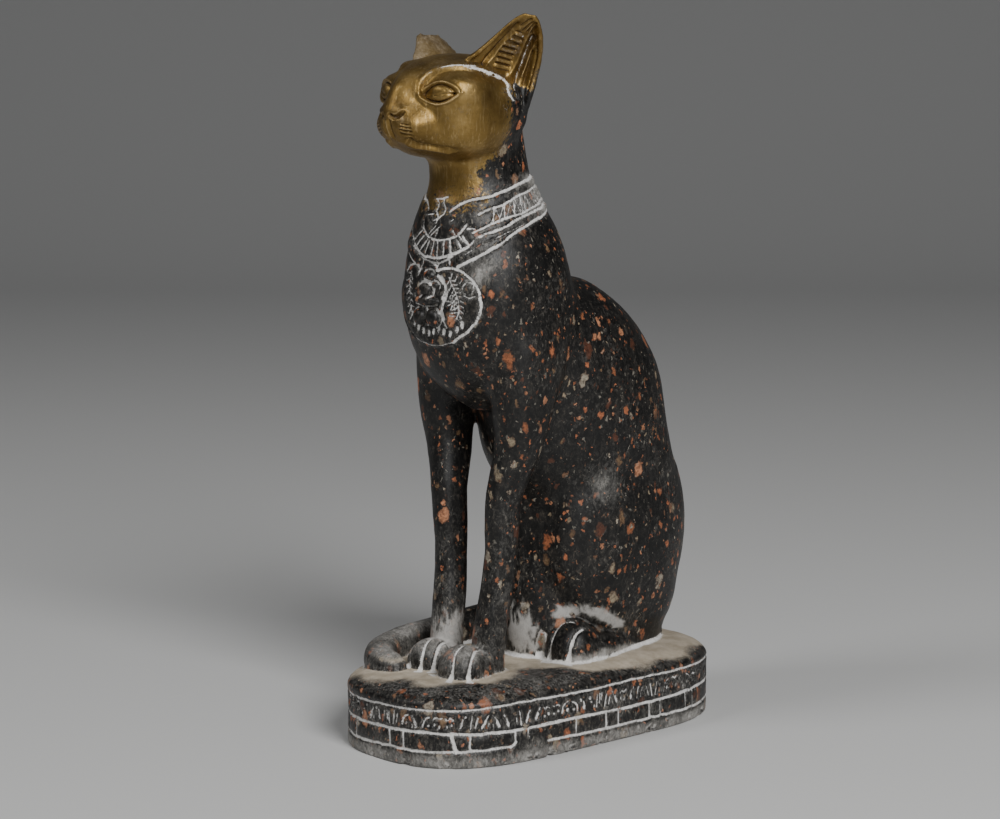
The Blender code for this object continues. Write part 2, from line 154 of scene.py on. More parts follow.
# Tube: a superellipse carried along a route; rows give x, y, height, half width, half height.
def tube(rows, sides=36, steps=10):
    rows = smoothRows(rows, steps)
    path = rows[:, :3]
    ahead = np.gradient(path, axis=0) * (1, 1, 0)
    ahead /= np.linalg.norm(ahead, axis=1)[:, None]
    beside = np.stack([-ahead[:, 1], ahead[:, 0], np.zeros(len(rows))], axis=1)
    across, along = roundedRing(sides, 2.2)
    rings = (path[:, None] + beside[:, None] * (rows[:, 3:4] * across)[..., None]
             + np.array((0, 0, 1.0)) * (rows[:, 4:5] * along)[..., None])
    return skin(rings)


# The form on the other side: x turned round, and the faces with it, so that they still look out.
def mirrored(form):
    points, faces = form
    return points * (-1.0, 1.0, 1.0), [face[::-1] for face in faces]


# Distance to ellipsoids melted together with a smooth minimum of the given blend. Those that stand
# off the middle are there on both sides.
def melted(points, rows, blend):
    total = None
    for x, y, z, a, b, c in rows:
        for side in (x, -x) if x else (0.0,):
            near = (points - (side, y, z)) / (a, b, c)
            k0 = np.linalg.norm(near, axis=-1) + 1e-9
            one = k0 * (k0 - 1.0) / (np.linalg.norm(near / (a, b, c), axis=-1) + 1e-9)
            if total is None:
                total = one
            else:
                mix = np.clip(0.5 + 0.5 * (total - one) / blend, 0.0, 1.0)
                total = total * (1 - mix) + one * mix - blend * mix * (1 - mix)
    return total


cat = dict(
    headAt=np.array((0.0, -32.0, 193.0)), headBlend=5.0, headReach=60.0,
    # ellipsoids of the head: middle and half widths
    skull=[(0, 0, 1.5, 21.5, 24.5, 15.5), (0, -6, 7.8, 17.5, 17, 8.6),      # brain case, crown
           (10.5, -5, -6, 11, 15, 10.5),                                    # cheeks
           (0, -8, -9, 12, 15, 8), (0, 7, -10, 14, 14, 14),                 # jaw, back of the head
           (13, -11.5, 4.9, 8.6, 9.4, 8.2),                                 # eye swellings
           (0, -18, -5, 10.5, 12.5, 8), (0, -17, 3.5, 6.5, 13, 8.5),        # muzzle, bridge of the nose
           (0, -27.4, -1.2, 4.2, 4.4, 3.0), (0, -18.2, -11.0, 6, 7.5, 4.2),  # nose, chin
           (5.0, -24.6, -6, 5.4, 5.4, 4.8)],                                # whisker pads
    # ear: front edge, back edge, bulge of the back, filling of the face or hollow below zero
    ear=[(6.0, -37, 190, 10.5, -21, 172, 5.0, 3.0), (9.0, -41, 200, 15.8, -19.2, 183, 8.0, 3.0),
         (13.0, -41.2, 208.3, 19.6, -19.2, 193, 7.6, -0.4),
         (15.6, -38.6, 211.2, 21.0, -16.8, 202, 6.6, -2.2),
         (18.9, -35.2, 215.1, 22.8, -16.0, 209.5, 4.8, -2.4),
         (22.1, -31.9, 219.6, 26.2, -18.6, 216.6, 2.8, -1.3),
         (25.2, -28.5, 223.2, 28.3, -21.9, 221.3, 1.7, 0.1),
         (27.2, -26.0, 224.0, 28.4, -24.0, 223.6, 0.5, 0.4)],
    earAxis=np.array((0.435, 0.237, 0.87)), earBrokenAt=0.70,
    earRims=(1.15, 0.95),        # radius of the rear one and of the front one
    # height, middle across and along, half widths
    foreleg=[(-3, 10.6, -30.4, 6.4, 6.2), (8, 10.9, -29.8, 5.6, 5.7), (19, 11.4, -28.4, 5.3, 5.8),
             (30, 12.4, -26.6, 5.1, 5.8), (41, 13.2, -25.7, 4.9, 5.8), (50, 13.6, -25.7, 5.2, 6.3),
             (60, 14.4, -25.4, 5.5, 6.7), (70, 16.3, -23.4, 6.3, 7.8), (80, 18.6, -22, 7.4, 9.0),
             (92, 19.2, -20.8, 8.8, 12.0), (105, 18.6, -19, 10.9, 14.8), (118, 17.4, -17, 11.4, 16.5),
             (128, 15.5, -13, 10.5, 16), (134, 12, -9, 7, 12)],
    forelegPower=2.2,
    # breast and neck, then barrel and rump: height, front, back, half width, power, taper
    breast=[(89, -26, -8, 5, 2.0, 0), (94, -33.5, 0, 12, 2.1, 0), (100, -39.5, 6, 19, 2.2, 0),
            (108, -43.5, 10, 25, 2.3, 0), (118, -45.8, 9, 27.6, 2.4, 0), (128, -46.5, 7.6, 27.8, 2.5, 0),
            (137, -46.4, 6.0, 27.2, 2.4, 0), (144, -46.2, 5.2, 25.8, 2.3, 0),
            (151, -45.4, 3.4, 23, 2.2, 0), (158, -44, 0.4, 19.8, 2.1, 0), (165, -42.0, -3.2, 17, 2.0, 0),
            (171, -41.5, -5.6, 15.6, 2.0, 0), (180, -42.4, -7.2, 14.5, 2.0, 0), (190, -42, -9, 13.5, 2.0, 0)],
    barrel=[(-3, -7.5, 55.5, 18, 2.2, 0.12), (6, -8.5, 58.0, 20, 2.2, 0.16),
            (12, -9, 60.0, 21.4, 2.2, 0.24), (20, -9, 61.6, 22.0, 2.2, 0.30),
            (32, -7.5, 62.4, 22.4, 2.1, 0.34), (45, -6, 62.0, 23.0, 2.1, 0.34),
            (55, -7.5, 60.6, 24.0, 2.2, 0.30), (63, -11.5, 58.6, 25.4, 2.3, 0.22),
            (72, -15.5, 56.2, 26.6, 2.3, 0.15), (85, -18.5, 54.0, 27.4, 2.2, 0.10),
            (100, -22.5, 51.6, 26.8, 2.2, 0.05), (112, -25, 45.2, 25, 2.2, 0),
            (120, -25, 38.0, 23, 2.2, 0), (127, -23, 28.8, 19.3, 2.2, 0), (132, -18, 20, 14, 2.2, 0),
            (134.5, -8, 8, 6, 2.2, 0)],
    tail=[(2, 54, 4, 6, 6.5), (-13, 54, 4, 6, 6.8), (-24, 45, 4.6, 5.8, 6.8), (-28.7, 30, 5.2, 5.8, 6.9),
          (-29.7, 10, 5.4, 5.7, 6.8), (-29.7, -8, 5.0, 5.5, 6.4), (-29.7, -28, 4.2, 5.3, 5.8),
          (-29.0, -38, 3.2, 5.4, 5.8), (-26.3, -46.5, 2.0, 5.6, 5.8), (-20.5, -51.7, 0.9, 5.6, 5.8),
          (-13.5, -52.8, 0.5, 5.2, 5.2), (-9.0, -52.4, 0.2, 3.6, 3.8), (-7.4, -52.2, 0, 1.2, 1.6)],
    hindFoot=[(17, 6, 2, 7.5, 6), (17.5, 14, 2, 7.0, 6.5), (14.5, 27, 2, 6.5, 6), (11, 41, 2, 6.0, 6),
              (7, 52, 2, 5, 5)],
    haunch=((11.2, 29.3, 43), (16.4, 32.2, 43)),
    # paws: side, middle, front, half width, length, height, turn
    paws=[(1, 10.6, -49.6, 8.6, 20, 10.6, 8), (-1, 7.2, -48.4, 8.2, 20, 9.8, 2),
          (1, 15.6, -5, 9.6, 22, 14, 0), (-1, 15.6, -5, 9.6, 22, 14, 0)],
    # lines between the toes of each paw, with the paw's own side positive
    toeLines=[[[(13.7, -49.0, 0.0), (13.9, -48.2, 3.7), (13.3, -47.3, 6.2), (11.8, -44.6, 8.4),
                (9.8, -37.5, 10.2)],
               [(18.9, -45.2, 0.0), (18.6, -44.2, 4.8), (17.2, -41.6, 8.2), (14.8, -38.0, 9.6),
                (13.8, -35.0, 10.2)],
               [(4.4, -46.8, 0.0), (4.0, -45.0, 5.4), (2.4, -41.6, 7.6), (0.8, -38.0, 8.2)]],
              [[(0.4, -45.0, 0.0), (0.4, -43.6, 5.2), (3.0, -39.8, 7.6), (5.2, -34.6, 8.4)],
               [(4.3, -47.6, 0.0), (4.4, -46.0, 5.3), (5.9, -43.4, 8.0), (8.0, -38.8, 8.8)],
               [(9.0, -47.8, 0.0), (10.0, -46.2, 5.0), (11.0, -43.0, 7.2), (12.2, -39.0, 7.6)]]]
             + [[[(9.2, -4.0, 0.0), (10.3, -3.3, 4.0), (10.9, -1.8, 8.0)],
                 [(14.9, -3.6, 0.0), (15.1, -2.7, 4.7), (14.9, -0.8, 9.0), (15.4, 2.2, 11.4),
                  (18.2, 4.3, 12.7)],
                 [(21.1, -1.5, 0.0), (21.4, -0.6, 5.0), (20.7, 2.0, 8.5), (21.3, 4.9, 10.7)]]] * 2,
)


# Head: rays from its middle, each followed by halving steps to where the melted forms end.
def head(rings=110, sides=128):
    polar = np.linspace(0.0, math.pi, rings + 2)[1:-1]
    turn = np.linspace(0.0, 2.0 * math.pi, sides, endpoint=False)
    p, t = np.meshgrid(polar, turn, indexing="ij")
    rays = np.stack([np.sin(p) * np.cos(t), np.cos(p), np.sin(p) * np.sin(t)], axis=-1)
    near, far = np.zeros(p.shape), np.full(p.shape, cat["headReach"])
    for _ in range(26):      # the last step is far finer than the skin
        middle = (near + far) / 2
        outside = melted(rays * middle[..., None], cat["skull"], cat["headBlend"]) > 0
        far = np.where(outside, middle, far)
        near = np.where(outside, near, middle)
    return skin(rays * near[..., None] + cat["headAt"])


# Rows of the ear from its root to where it is kept.
def earRows(keep, steps=12):
    rows = smoothRows(cat["ear"], steps)
    return rows[:round(len(rows) * keep)]


# Ear: rings from its front edge to its back edge; the back bulges out and the face is hollow.
def ear(keep=1.0, sides=56):
    rows = earRows(keep)
    across, along = roundedRing(sides, 2.0)
    chord = (rows[:, 3:6] - rows[:, :3]) / 2
    backward = np.cross(cat["earAxis"], chord)
    backward /= np.linalg.norm(backward, axis=1)[:, None]
    depth = np.where(along > 0, rows[:, 6:7], rows[:, 7:8]) * along
    rings = ((rows[:, :3] + rows[:, 3:6])[:, None] / 2 + across[:, None] * chord[:, None]
             + depth[..., None] * backward[:, None])
    return skin(rings)


# Rod round a route in space: rings square to it, as wide as the radii say.
def rod(route, radii, sides=14):
    ahead = np.gradient(route, axis=0)
    ahead /= np.linalg.norm(ahead, axis=1)[:, None]
    beside = np.cross(ahead, (0.0, 1.0, 0.0))
    beside /= np.linalg.norm(beside, axis=1)[:, None]
    third = np.cross(ahead, beside)
    c, s = roundedRing(sides, 2.0)
    radii = np.broadcast_to(radii, len(route))[:, None, None]
    return skin(route[:, None] + radii * (c[:, None] * beside[:, None] + s[:, None] * third[:, None]))


# Rounded rims of the ear, along its rear and its front edge, thinner towards the tip.
def earRims(keep=1.0):
    rows = earRows(keep)
    front, rear = rows[:-2, :3], rows[:-2, 3:6]
    inward = 0.5 * (front - rear) / np.linalg.norm(front - rear, axis=1)[:, None]
    thin = np.linspace(1.0, 1.0 - 0.35 * keep, len(rows))[:-2]
    rearRadius, frontRadius = cat["earRims"]
    return [rod(rear + inward, rearRadius * thin), rod(front - inward, frontRadius * thin)]


earBreak = dict(
    across=(0.669, 0.743),                # the way along the break, seen from above
    level=216.4, slopeFrom=(-32.2, 216.6), slope=0.97,      # edge in front, and behind it
    tooth=(-37.6, 0.5, 0.6),              # place, width and height of a tooth left standing
    jags=((0.35, 1.1, 21), (0.3, 2.6, 22)),                 # depth, size and seed
    inward=-9, lowest=204.5,              # all of it is farther out and higher than these
)


# Break of the right ear: nothing of it stands above a jagged edge, level in front and sloping
# down behind it.
def brokenOff(points):
    x, y, h = points.T
    b = earBreak
    across = b["across"][0] * x + b["across"][1] * y
    (slopePlace, slopeTop), (place, width, tall) = b["slopeFrom"], b["tooth"]
    cap = np.minimum(b["level"], slopeTop - b["slope"] * (across - slopePlace))
    cap += tall * bump(across - place, width)
    cap += sum(depth * noise(points, size, seed) for depth, size, seed in b["jags"])
    over = (x < b["inward"]) & (h > b["lowest"] - 0.5)
    return np.stack([x, y, np.where(over, np.minimum(h, np.maximum(cap, b["lowest"])), h)], axis=1)


# Front of a paw as one ellipsoid: its middle and half widths. Lines cut it into toes.
def pawDome(x, front, halfWidth, length, height):
    return (np.array((x, front + length * 0.44, height * 0.18)),
            np.array((halfWidth, length * 0.44, height * 0.82)))


# Paw: its dome over a low body that runs back.
def paw(x, front, halfWidth, length, height, turn):
    return [ellipsoid((x, front + length * 0.60, height * 0.15),
                      (halfWidth * 0.92, length * 0.45, height * 0.72), (0, 0, turn)),
            ellipsoid(*pawDome(x, front, halfWidth, length, height), (-8, 0, turn))]


# Plinth: plan rings of straight sides and superelliptic ends, drawn in as the profile says.
def plinthForm(sides=240):
    reach, straight = plinth["endReach"], plinth["length"] / 2 - plinth["endReach"]
    across, along = roundedRing(sides, plinth["endPower"])
    bevel, tall = plinth["footBevel"], plinth["height"]
    profile = [(bevel, 0.0), (0.0, bevel), (0.0, tall / 2)]
    for turn in np.radians(np.linspace(0, 90, 12)):
        profile.append((plinth["easeOut"] * (1 - math.cos(turn)),
                        tall - plinth["easeDown"] * (1 - math.sin(turn))))
    rings = [np.stack([(plinth["width"] / 2 - inset) * across,
                       (reach - inset) * along + np.sign(along) * straight,
                       np.full(sides, height - tall)], axis=1) for inset, height in profile]
    return skin(np.array(rings) / part)


# All the forms, each a closed skin of its own; those off the middle are there on both sides.
def allForms():
    legRows = [(*row, cat["forelegPower"], 0) for row in cat["foreleg"]]
    forms = [column(slices(cat["breast"])), column(slices(cat["barrel"])), tube(cat["tail"]), head(),
             plinthForm()]
    for form in (column(legRows), ellipsoid(*cat["haunch"], rings=50, sides=80), tube(cat["hindFoot"])):
        forms += [form, mirrored(form)]
    for side, *row in cat["paws"]:
        forms += paw(*row) if side > 0 else [mirrored(form) for form in paw(*row)]
    broken = cat["earBrokenAt"]
    return forms + [ear(), *earRims(), *[mirrored(form) for form in (ear(broken), *earRims(broken))]]


# Object at the origin with a mesh of points and faces.
def makeObject(name, points, faces):
    mesh = bpy.data.meshes.new(name)
    mesh.from_pydata(points.tolist(), [], faces)
    item = bpy.data.objects.new(name, mesh)
    bpy.context.scene.collection.objects.link(item)
    return item


# Applies one modifier to an object by taking its evaluated mesh.
def applied(item, kind, **values):
    modifier = item.modifiers.new(kind, kind)
    for key, value in values.items():
        setattr(modifier, key, value)
    bpy.context.view_layer.update()
    mesh = bpy.data.meshes.new_from_object(item.evaluated_get(bpy.context.evaluated_depsgraph_get()))
    item.modifiers.clear()
    item.data = mesh
    return mesh


# Vectors of a mesh's points or faces, one to a row.
def vectors(collection, name):
    values = np.empty(len(collection) * 3, np.float32)
    collection.foreach_get(name, values)
    return values.reshape(-1, 3).astype(float)


# Each point moves towards the middle of its neighbours, as far as its share; with keepSize a
# second step moves it back, so that thin forms don't shrink.
def softened(points, edges, share, rounds, keepSize):
    count = len(points)
    ends = np.concatenate([edges[:, 0], edges[:, 1]])
    others = np.concatenate([edges[:, 1], edges[:, 0]])
    neighbours = np.bincount(ends, minlength=count)[:, None]
    for _ in range(rounds):
        for pull in (0.60, -0.62) if keepSize else (0.50,):
            sums = [np.bincount(ends, points[others, k], count) for k in range(3)]
            points = points + pull * (np.stack(sums, 1) / neighbours - points) * share[:, None]
    return points


# Distance from points to a route of straight stretches, in two or three dimensions.
def routeDistance(points, route):
    route = np.asarray(route, float)
    nearest = np.full(len(points), 1e9)
    for start, end in zip(route[:-1], route[1:]):
        step = end - start
        share = np.clip((points - start) @ step / (step @ step), 0.0, 1.0)
        gap = points - start - share[:, None] * step
        nearest = np.minimum(nearest, (gap * gap).sum(1))
    return np.sqrt(nearest)


farOut = -4.0           # depth inside a stroke that is given to points far from all strokes
strokeReach = 3.5       # how far round a stroke its distance is worked out


# Half the width of each stroke less the distance to it, the greatest of all: above 0 is inside.
def inStrokes(chart, strokes):
    inside = np.full(len(chart), farOut)
    for halfWidth, route in strokes:
        route = np.asarray(route, float)
        near = np.flatnonzero(((chart > route.min(0) - strokeReach)
                               & (chart < route.max(0) + strokeReach)).all(1))
        inside[near] = np.maximum(inside[near], halfWidth - routeDistance(chart[near], route))
    return inside


# The same strokes on both sides of a middle line.
def bothSides(strokes, middle):
    return [(wide, np.array(route) * (side, 1) + (middle, 0)) for wide, route in strokes for side in (1, -1)]


# Ellipse as a closed route: middle plus half widths times cosine and sine.
def oval(a, b, halfA, halfB, start=0.0, end=360.0, steps=28):
    turn = np.radians(np.linspace(start, end, steps))
    return np.stack([a + halfA * np.cos(turn), b + halfB * np.sin(turn)], axis=1)


# Points at even steps along a route, and the direction of the route there.
def evenly(route, spacing):
    route = smoothRows(route, 8)
    length = np.concatenate([[0.0], np.cumsum(np.linalg.norm(np.diff(route, axis=0), axis=1))])
    at = np.arange(spacing / 2, length[-1], spacing)
    points = np.stack([np.interp(at, length, column) for column in route.T], axis=1)
    ahead = np.stack([np.interp(at + 0.1, length, column) for column in route.T], axis=1) - points
    return points, ahead / (np.linalg.norm(ahead, axis=1)[:, None] + 1e-9)


# Short ticks that stand on a route at even steps, leaning forward; side 1 is its left.
def ticks(route, spacing, length, side, lean, halfWidth):
    points, ahead = evenly(route, spacing)
    out = side * np.stack([-ahead[:, 1], ahead[:, 0]], axis=1) + lean * ahead
    return [(halfWidth, np.array([p, p + length * o])) for p, o in zip(points, out)]


carving = dict(strokes=0.5, toes=0.85, chips=1.1, grain=0.10, waves=0.16)      # depths, in parts


# Heights at which the breast is carved.
def onBreast(h):
    return (h > 108) & (h < 174)


# Heights of the plinth's side.
def onSide(h):
    return (h < -1.0) & (h > -25.5)


neck = dict(radius=29, axis=-17.5)      # of the cylinder that the breast is laid flat from


# Breast and neck laid flat: the angle round the neck's axis times the radius, and the height.
def breastChart(points):
    around = np.arctan2(points[:, 0], -(points[:, 1] - neck["axis"]))
    return np.stack([neck["radius"] * around, points[:, 2]], axis=1)


# Side of the plinth laid flat: the length round it from the middle of the front, and the height.
def plinthChart(points):
    across, along = roundedRing(2000, plinth["endPower"])
    x = plinth["width"] / 2 * across / part
    y = (plinth["endReach"] * along + np.sign(along) * (plinth["length"] / 2 - plinth["endReach"])) / part
    order = np.argsort(np.arctan2(x, -y))
    x, y = x[order], y[order]
    angle = np.arctan2(x, -y)
    length = np.concatenate([[0.0], np.cumsum(np.hypot(np.diff(x), np.diff(y)))])
    length -= np.interp(0.0, angle, length)
    return np.stack([np.interp(np.arctan2(points[:, 0], -points[:, 1]), angle, length),
                     points[:, 2] + plinth["height"] / part], axis=1)


necklace = dict(
    middle=2.0,      # the lines are the same on both sides of here, as lengths from it and heights
    lines=[(0.50, [(5.7, 158.4), (7.4, 159.8), (9.1, 160.8), (13, 162.1), (17.6, 162.9), (22.3, 163.7),
                   (28, 164.9), (38, 167), (53, 168.6), (73, 169.8), (92, 170.2)]),
           (0.42, [(17, 157.6), (21.4, 159.3), (24.8, 160), (28.2, 161), (34.5, 162.7), (41.2, 164),
                   (51, 165.2), (73, 166.6), (92, 167)]),
           (0.42, [(15.5, 151.6), (18, 152.8), (21, 154.1), (24.6, 155.3), (30, 156.5), (36.4, 157.6),
                   (43.6, 159), (56.4, 160.8), (73, 162), (92, 162.5)]),
           (0.45, [(14.5, 147.4), (16.3, 149.3), (18.6, 150.8), (22.4, 151.9), (26.9, 153.3),
                   (32.5, 155.3), (39.8, 157.1), (57.6, 159.4), (73, 160.5), (92, 161)]),
           (0.16, [(13.4, 144.8), (16.5, 146.7), (20.4, 148.6), (24.5, 150.4), (28.2, 151.8), (36, 154)]),
           (0.62, [(10.5, 140.4), (14.5, 142.2), (18.1, 144.1), (22.4, 146.3), (26.6, 148.8),
                   (31.7, 151.6), (38.1, 153.6), (47.1, 155.5), (60.3, 157.2), (76, 158.4), (92, 158.8)])],
    # upright bars and the zigzag between the second and third lines: reach and spacing
    barsReach=(23.0, 92.0), barStep=5.0, zigzagStep=1.75,
)
bib = dict(
    halfWidths=dict(outer=0.55, second=0.36, inner=0.42, rays=0.36, links=0.36, stems=0.27, vase=0.36),
    outer=[[(-14.5, 153), (-12.7, 150.4), (-9, 146.8), (-5.5, 144.4), (-2.3, 143.1), (1.9, 142.9),
            (5.7, 143.2), (9.1, 143.9), (11.3, 144.7), (13.8, 146), (16.5, 147.4)]],
    second=[[(-9.6, 146), (-6, 143.4), (-3.6, 142.2), (1.5, 141.4), (4.8, 141.3), (7.8, 142.2),
             (10.5, 143.7)]],
    inner=[[(-4.2, 152.8), (-3.5, 151.8), (-1.3, 150.1), (1.9, 149.1), (5.2, 148.9), (8.6, 149.4),
            (11.2, 150.3), (12.8, 151.8), (13.9, 153), (14.8, 154.3)]],
    rays=[((-7.6, 146.6), (-3, 150)), ((-5.2, 144.8), (-1.1, 148.9)), ((-2.1, 144.3), (0.2, 148.6)),
          ((1.3, 143.7), (2.3, 148.4)), ((4.4, 143.7), (4.1, 148.7)), ((7.2, 143.7), (7, 148.8)),
          ((10.2, 144.2), (9.3, 149.1)), ((13.7, 146.6), (11.7, 149.7)), ((16.1, 147.8), (13.7, 150.7)),
          ((-9.8, 148.3), (-4.6, 151.6))],
    stems=[((-4.4, 155.6), (-3.6, 152.2)), ((2.8, 150), (3.9, 152.4)), ((0.6, 150.4), (4.6, 153.6)),
           ((10, 152.3), (11.1, 150.4)), ((12.4, 150.6), (14.2, 148.9)), ((15.5, 153), (18.4, 153)),
           ((-2.6, 157), (0.8, 157.6)), ((2.9, 153.9), (-0.7, 150.6)), ((2.8, 156.3), (0.1, 154.7)),
           ((9.0, 155.4), (9.6, 156))],
    vase=[[(-0.4, 162.3), (2.7, 162.6), (5.3, 163.3)],
          [(0.3, 162.1), (1.5, 160.9), (1.5, 159.7), (1.1, 158.6), (2.9, 157.1), (2.7, 155.6), (2.6, 154.8)],
          [(3.8, 162.8), (3.8, 161.3), (5.5, 159.1), (5.3, 157.6), (3.2, 156)]],
    links=[((-3.6, 142.2), (-3.4, 138.8)), ((4.2, 142), (4.6, 139.3)), ((9.2, 143.4), (9.5, 140.8)),
           ((0.2, 141.6), (4.2, 140.2))],
)
breastDisc = dict(
    halfWidths=dict(rim=0.52, darkRim=0.20, lobe=0.36, featherRight=0.30, featherLeft=0.30),
    rim=[(4.3, 138.9), (7.4, 139.6), (10.7, 139.8), (12.4, 139.5), (14.9, 138.6), (17.3, 136.9),
         (19.3, 134.3), (20.5, 131.3), (21, 128.3), (20.6, 125.2), (19.2, 122.1), (16.8, 119.3),
         (13.8, 117), (10.4, 114.7)],
    darkRim=[(10.4, 114.7), (5, 113.3), (0, 113), (-6, 114), (-11, 116.6), (-15.5, 120.2), (-18.3, 124.5),
             (-19, 128.5), (-18.3, 132.5), (-16.3, 136), (-13.4, 138.6)],
    lobe=[(-16.5, 137), (-13.4, 139.1), (-9.4, 140.1), (-6.2, 139.9), (-4.1, 138.7), (-5.3, 136.7)],
    # middle, half widths and height of each raised form, and the rings round them
    domes=[(1.0, 137.0, 2.2, 1.8, 1.3), (-0.4, 132.2, 3.0, 2.4, 1.9), (4.2, 133.8, 1.4, 1.2, 1.0),
           (-0.2, 128.5, 6.0, 1.7, 1.7), (-4.2, 122.7, 2.7, 2.9, 2.0), (2.9, 122.9, 2.9, 3.2, 2.2),
           (16.7, 133.3, 1.4, 1.6, 0.9)],
    outlines=[(0.42, (1.0, 136.9, 2.7, 2.2, 20, 330)), (0.66, (-0.4, 132.1, 3.6, 2.9, -60, 235)),
              (0.40, (4.2, 133.8, 1.8, 1.6, -120, 150)), (0.24, (16.7, 133.4, 1.8, 2.0, -60, 250)),
              (0.42, (-4.2, 122.6, 3.2, 3.4, 110, 250)), (0.42, (2.9, 122.8, 3.4, 3.7, -80, 60))],
    # ridge with thicker places on it, then lines between the raised forms and near the rim
    strokes=[(0.62, [(4.9, 137.3), (7.0, 136.2), (8.3, 133.8), (8.3, 130.4), (7.4, 128.0), (6.6, 125.0),
                     (7.1, 122.2)]),
             (0.95, [(6.2, 136.6), (7.4, 135.4)]), (1.05, [(8.4, 131.6), (7.8, 129.4)]),
             (1.05, [(6.7, 124.6), (7.0, 122.8)]), (0.46, [(7.4, 121.2), (8.4, 119.8)]),
             (0.30, [(-5.9, 126.9), (-2.0, 126.3), (2.4, 126.6), (4.8, 127.4)]),
             (0.26, [(-6.6, 130.6), (-6.9, 128.4), (-6.2, 126.8)]),
             (0.50, [(-0.7, 126.0), (0.1, 124.6), (-0.6, 122.4)]),
             (0.34, [(-0.6, 122.2), (-0.3, 120.0)]), (0.26, [(15.4, 131.0), (17.0, 130.1), (19.0, 130.9)]),
             (0.26, [(10.8, 138.2), (10.6, 136.6)]), (0.24, [(12.8, 137.4), (12.0, 135.6)]),
             (0.22, [(14.6, 136.2), (13.6, 134.8)])],
    beads=[(-8.2, 119.9), (-6.0, 118.6), (-3.3, 117.8), (-0.5, 117.4), (2.2, 117.9), (4.9, 118.8),
           (7.2, 118.2), (9.9, 117.7), (12.4, 119.4), (14.6, 121.2)],
    star=(11.3, 128.4), starReach=(0.8, 2.4),
    featherRight=[(10.0, 136.6), (11.0, 134.4), (12.6, 131.8), (13.6, 128.8), (13.5, 125.6), (12.4, 122.8)],
    featherLeft=[(-9.1, 137.6), (-10.2, 135.5), (-10.6, 132.0), (-10.2, 128.1), (-9.2, 124.2), (-8.4, 121.6)],
    # ticks on the feathers: spacing, length, side, lean and half width
    ticks=dict(featherRight=[(1.5, 1.7, 1, 0.5, 0.26), (1.6, 2.7, -1, 0.45, 0.26)],
               featherLeft=[(2.0, 2.6, -1, 0.5, 0.30), (2.2, 1.8, 1, 0.5, 0.27)]),
)
plinthBand = dict(
    halfWidths=(0.36, 0.52, 0.44, 0.46),      # of the four lines, in this order
    top=[(-186, 20.2), (-150, 20.6), (-110, 20.1), (-70, 20.4), (-45, 19.6), (-21.6, 18.6), (-14.4, 18.9),
         (3, 19.4), (13, 19.7), (21, 19.9), (31, 20), (41, 20.3), (54, 20.9), (67, 20.7), (86, 20.1),
         (108, 20.5), (121, 20.3), (146, 20.1), (186, 20.2)],
    middle=[(-186, 12), (-150, 11.6), (-110, 12.2), (-60, 11.7), (-20, 11.5), (-5, 11.7), (10, 12),
            (21, 12.3), (31, 12), (38, 11.7), (62, 11.6), (79, 11.5), (101, 11), (121, 11.2), (146, 12),
            (186, 12)],
    bottom=[(-186, 5.2), (-140, 5.6), (-90, 5.3), (-40, 5.4), (-20, 5), (-9, 5), (6.5, 5.7), (26, 5.8),
            (36, 5.9), (46, 6.3), (51, 6.2), (53, 7.2)],
    bottomRest=[(67, 5.8), (86, 5.3), (108, 5.2), (121, 5.3), (145, 5.1), (186, 5.2)],
    spur=[(58.2, 11.4), (58.5, 8.4)],
    dividers=[(-174, 0), (-167, 0), (-148, 0), (-141, 0.6), (-121, 0), (-115, 0), (-96, -0.4), (-90, 0),
              (-68, 0), (-62, 0.5), (-44, 0), (-37, 0), (-20.6, 0), (-13.4, 0), (5.9, 0.3), (12.2, 0.2),
              (30, 1.3), (36.2, 0.1), (52.9, 0), (79, 0.3), (94.2, 0.3), (100.6, 0.3), (115.4, 0.1),
              (120.5, 0.3), (134.3, 0.4), (139, 0.1), (158, 0), (164, 0.4), (180, 0)],  # place and slant
)


# Short cut strokes in the band, in a seeded row: ticks, dots, dashes and drops that stand apart
# and form no letters. Places are lengths across a mark, and heights as shares of the band's.
def bandMarks():
    shapes = [[(0.30, [(-1.3, 0.05), (-0.5, 0.95)]), (0.28, [(0.5, 0.15), (1.2, 0.8)])],
              [(0.60, [(-0.4, 0.15), (-0.2, 0.3)]), (0.34, [(-0.2, 0.3), (0.3, 0.72)]),
               (0.40, [(1.3, 0.85), (1.4, 0.9)])],
              [(0.42, [(-1.2, 0.12), (-1.1, 0.2)]), (0.36, [(-0.1, 0.5), (0.1, 0.52)]),
               (0.42, [(1.1, 0.84), (1.2, 0.9)])],
              [(0.28, [(-1.4, 0.80), (-0.5, 0.95), (0.5, 0.78), (1.4, 0.92)]),
               (0.40, [(-0.9, 0.36), (-0.8, 0.42)]), (0.36, [(0.7, 0.22), (0.8, 0.28)])],
              [(0.30, [(-1.3, 0.15), (-0.9, 0.6), (0.1, 0.85), (1.2, 0.95)]),
               (0.46, [(0.6, 0.3), (0.8, 0.34)])],
              [(0.28, [(-1.5, 0.05), (-1.1, 0.9)]), (0.28, [(-0.2, 0.3), (0.1, 0.95)]),
               (0.26, [(1.0, 0.5), (1.3, 0.95)])],
              [(0.60, [(-0.8, 0.15), (0.0, 0.5)]), (0.26, [(0.3, 0.62), (1.3, 0.95)]),
               (0.30, [(1.1, 0.1), (1.3, 0.3)])]]
    rng = np.random.default_rng(11)
    strokes = []
    for s in np.arange(-184.0, 184.0, 4.1):
        flip, foot, tall = rng.choice((-1, 1)), 13.1 + rng.uniform(0, 0.5), 4.7 + rng.uniform(-0.4, 0.2)
        for wide, route in shapes[rng.integers(len(shapes))]:
            route = np.array(route) * (flip, tall) + (s + rng.uniform(-0.3, 0.3), foot)
            strokes.append((wide * rng.uniform(0.8, 1.1), route))
    return strokes


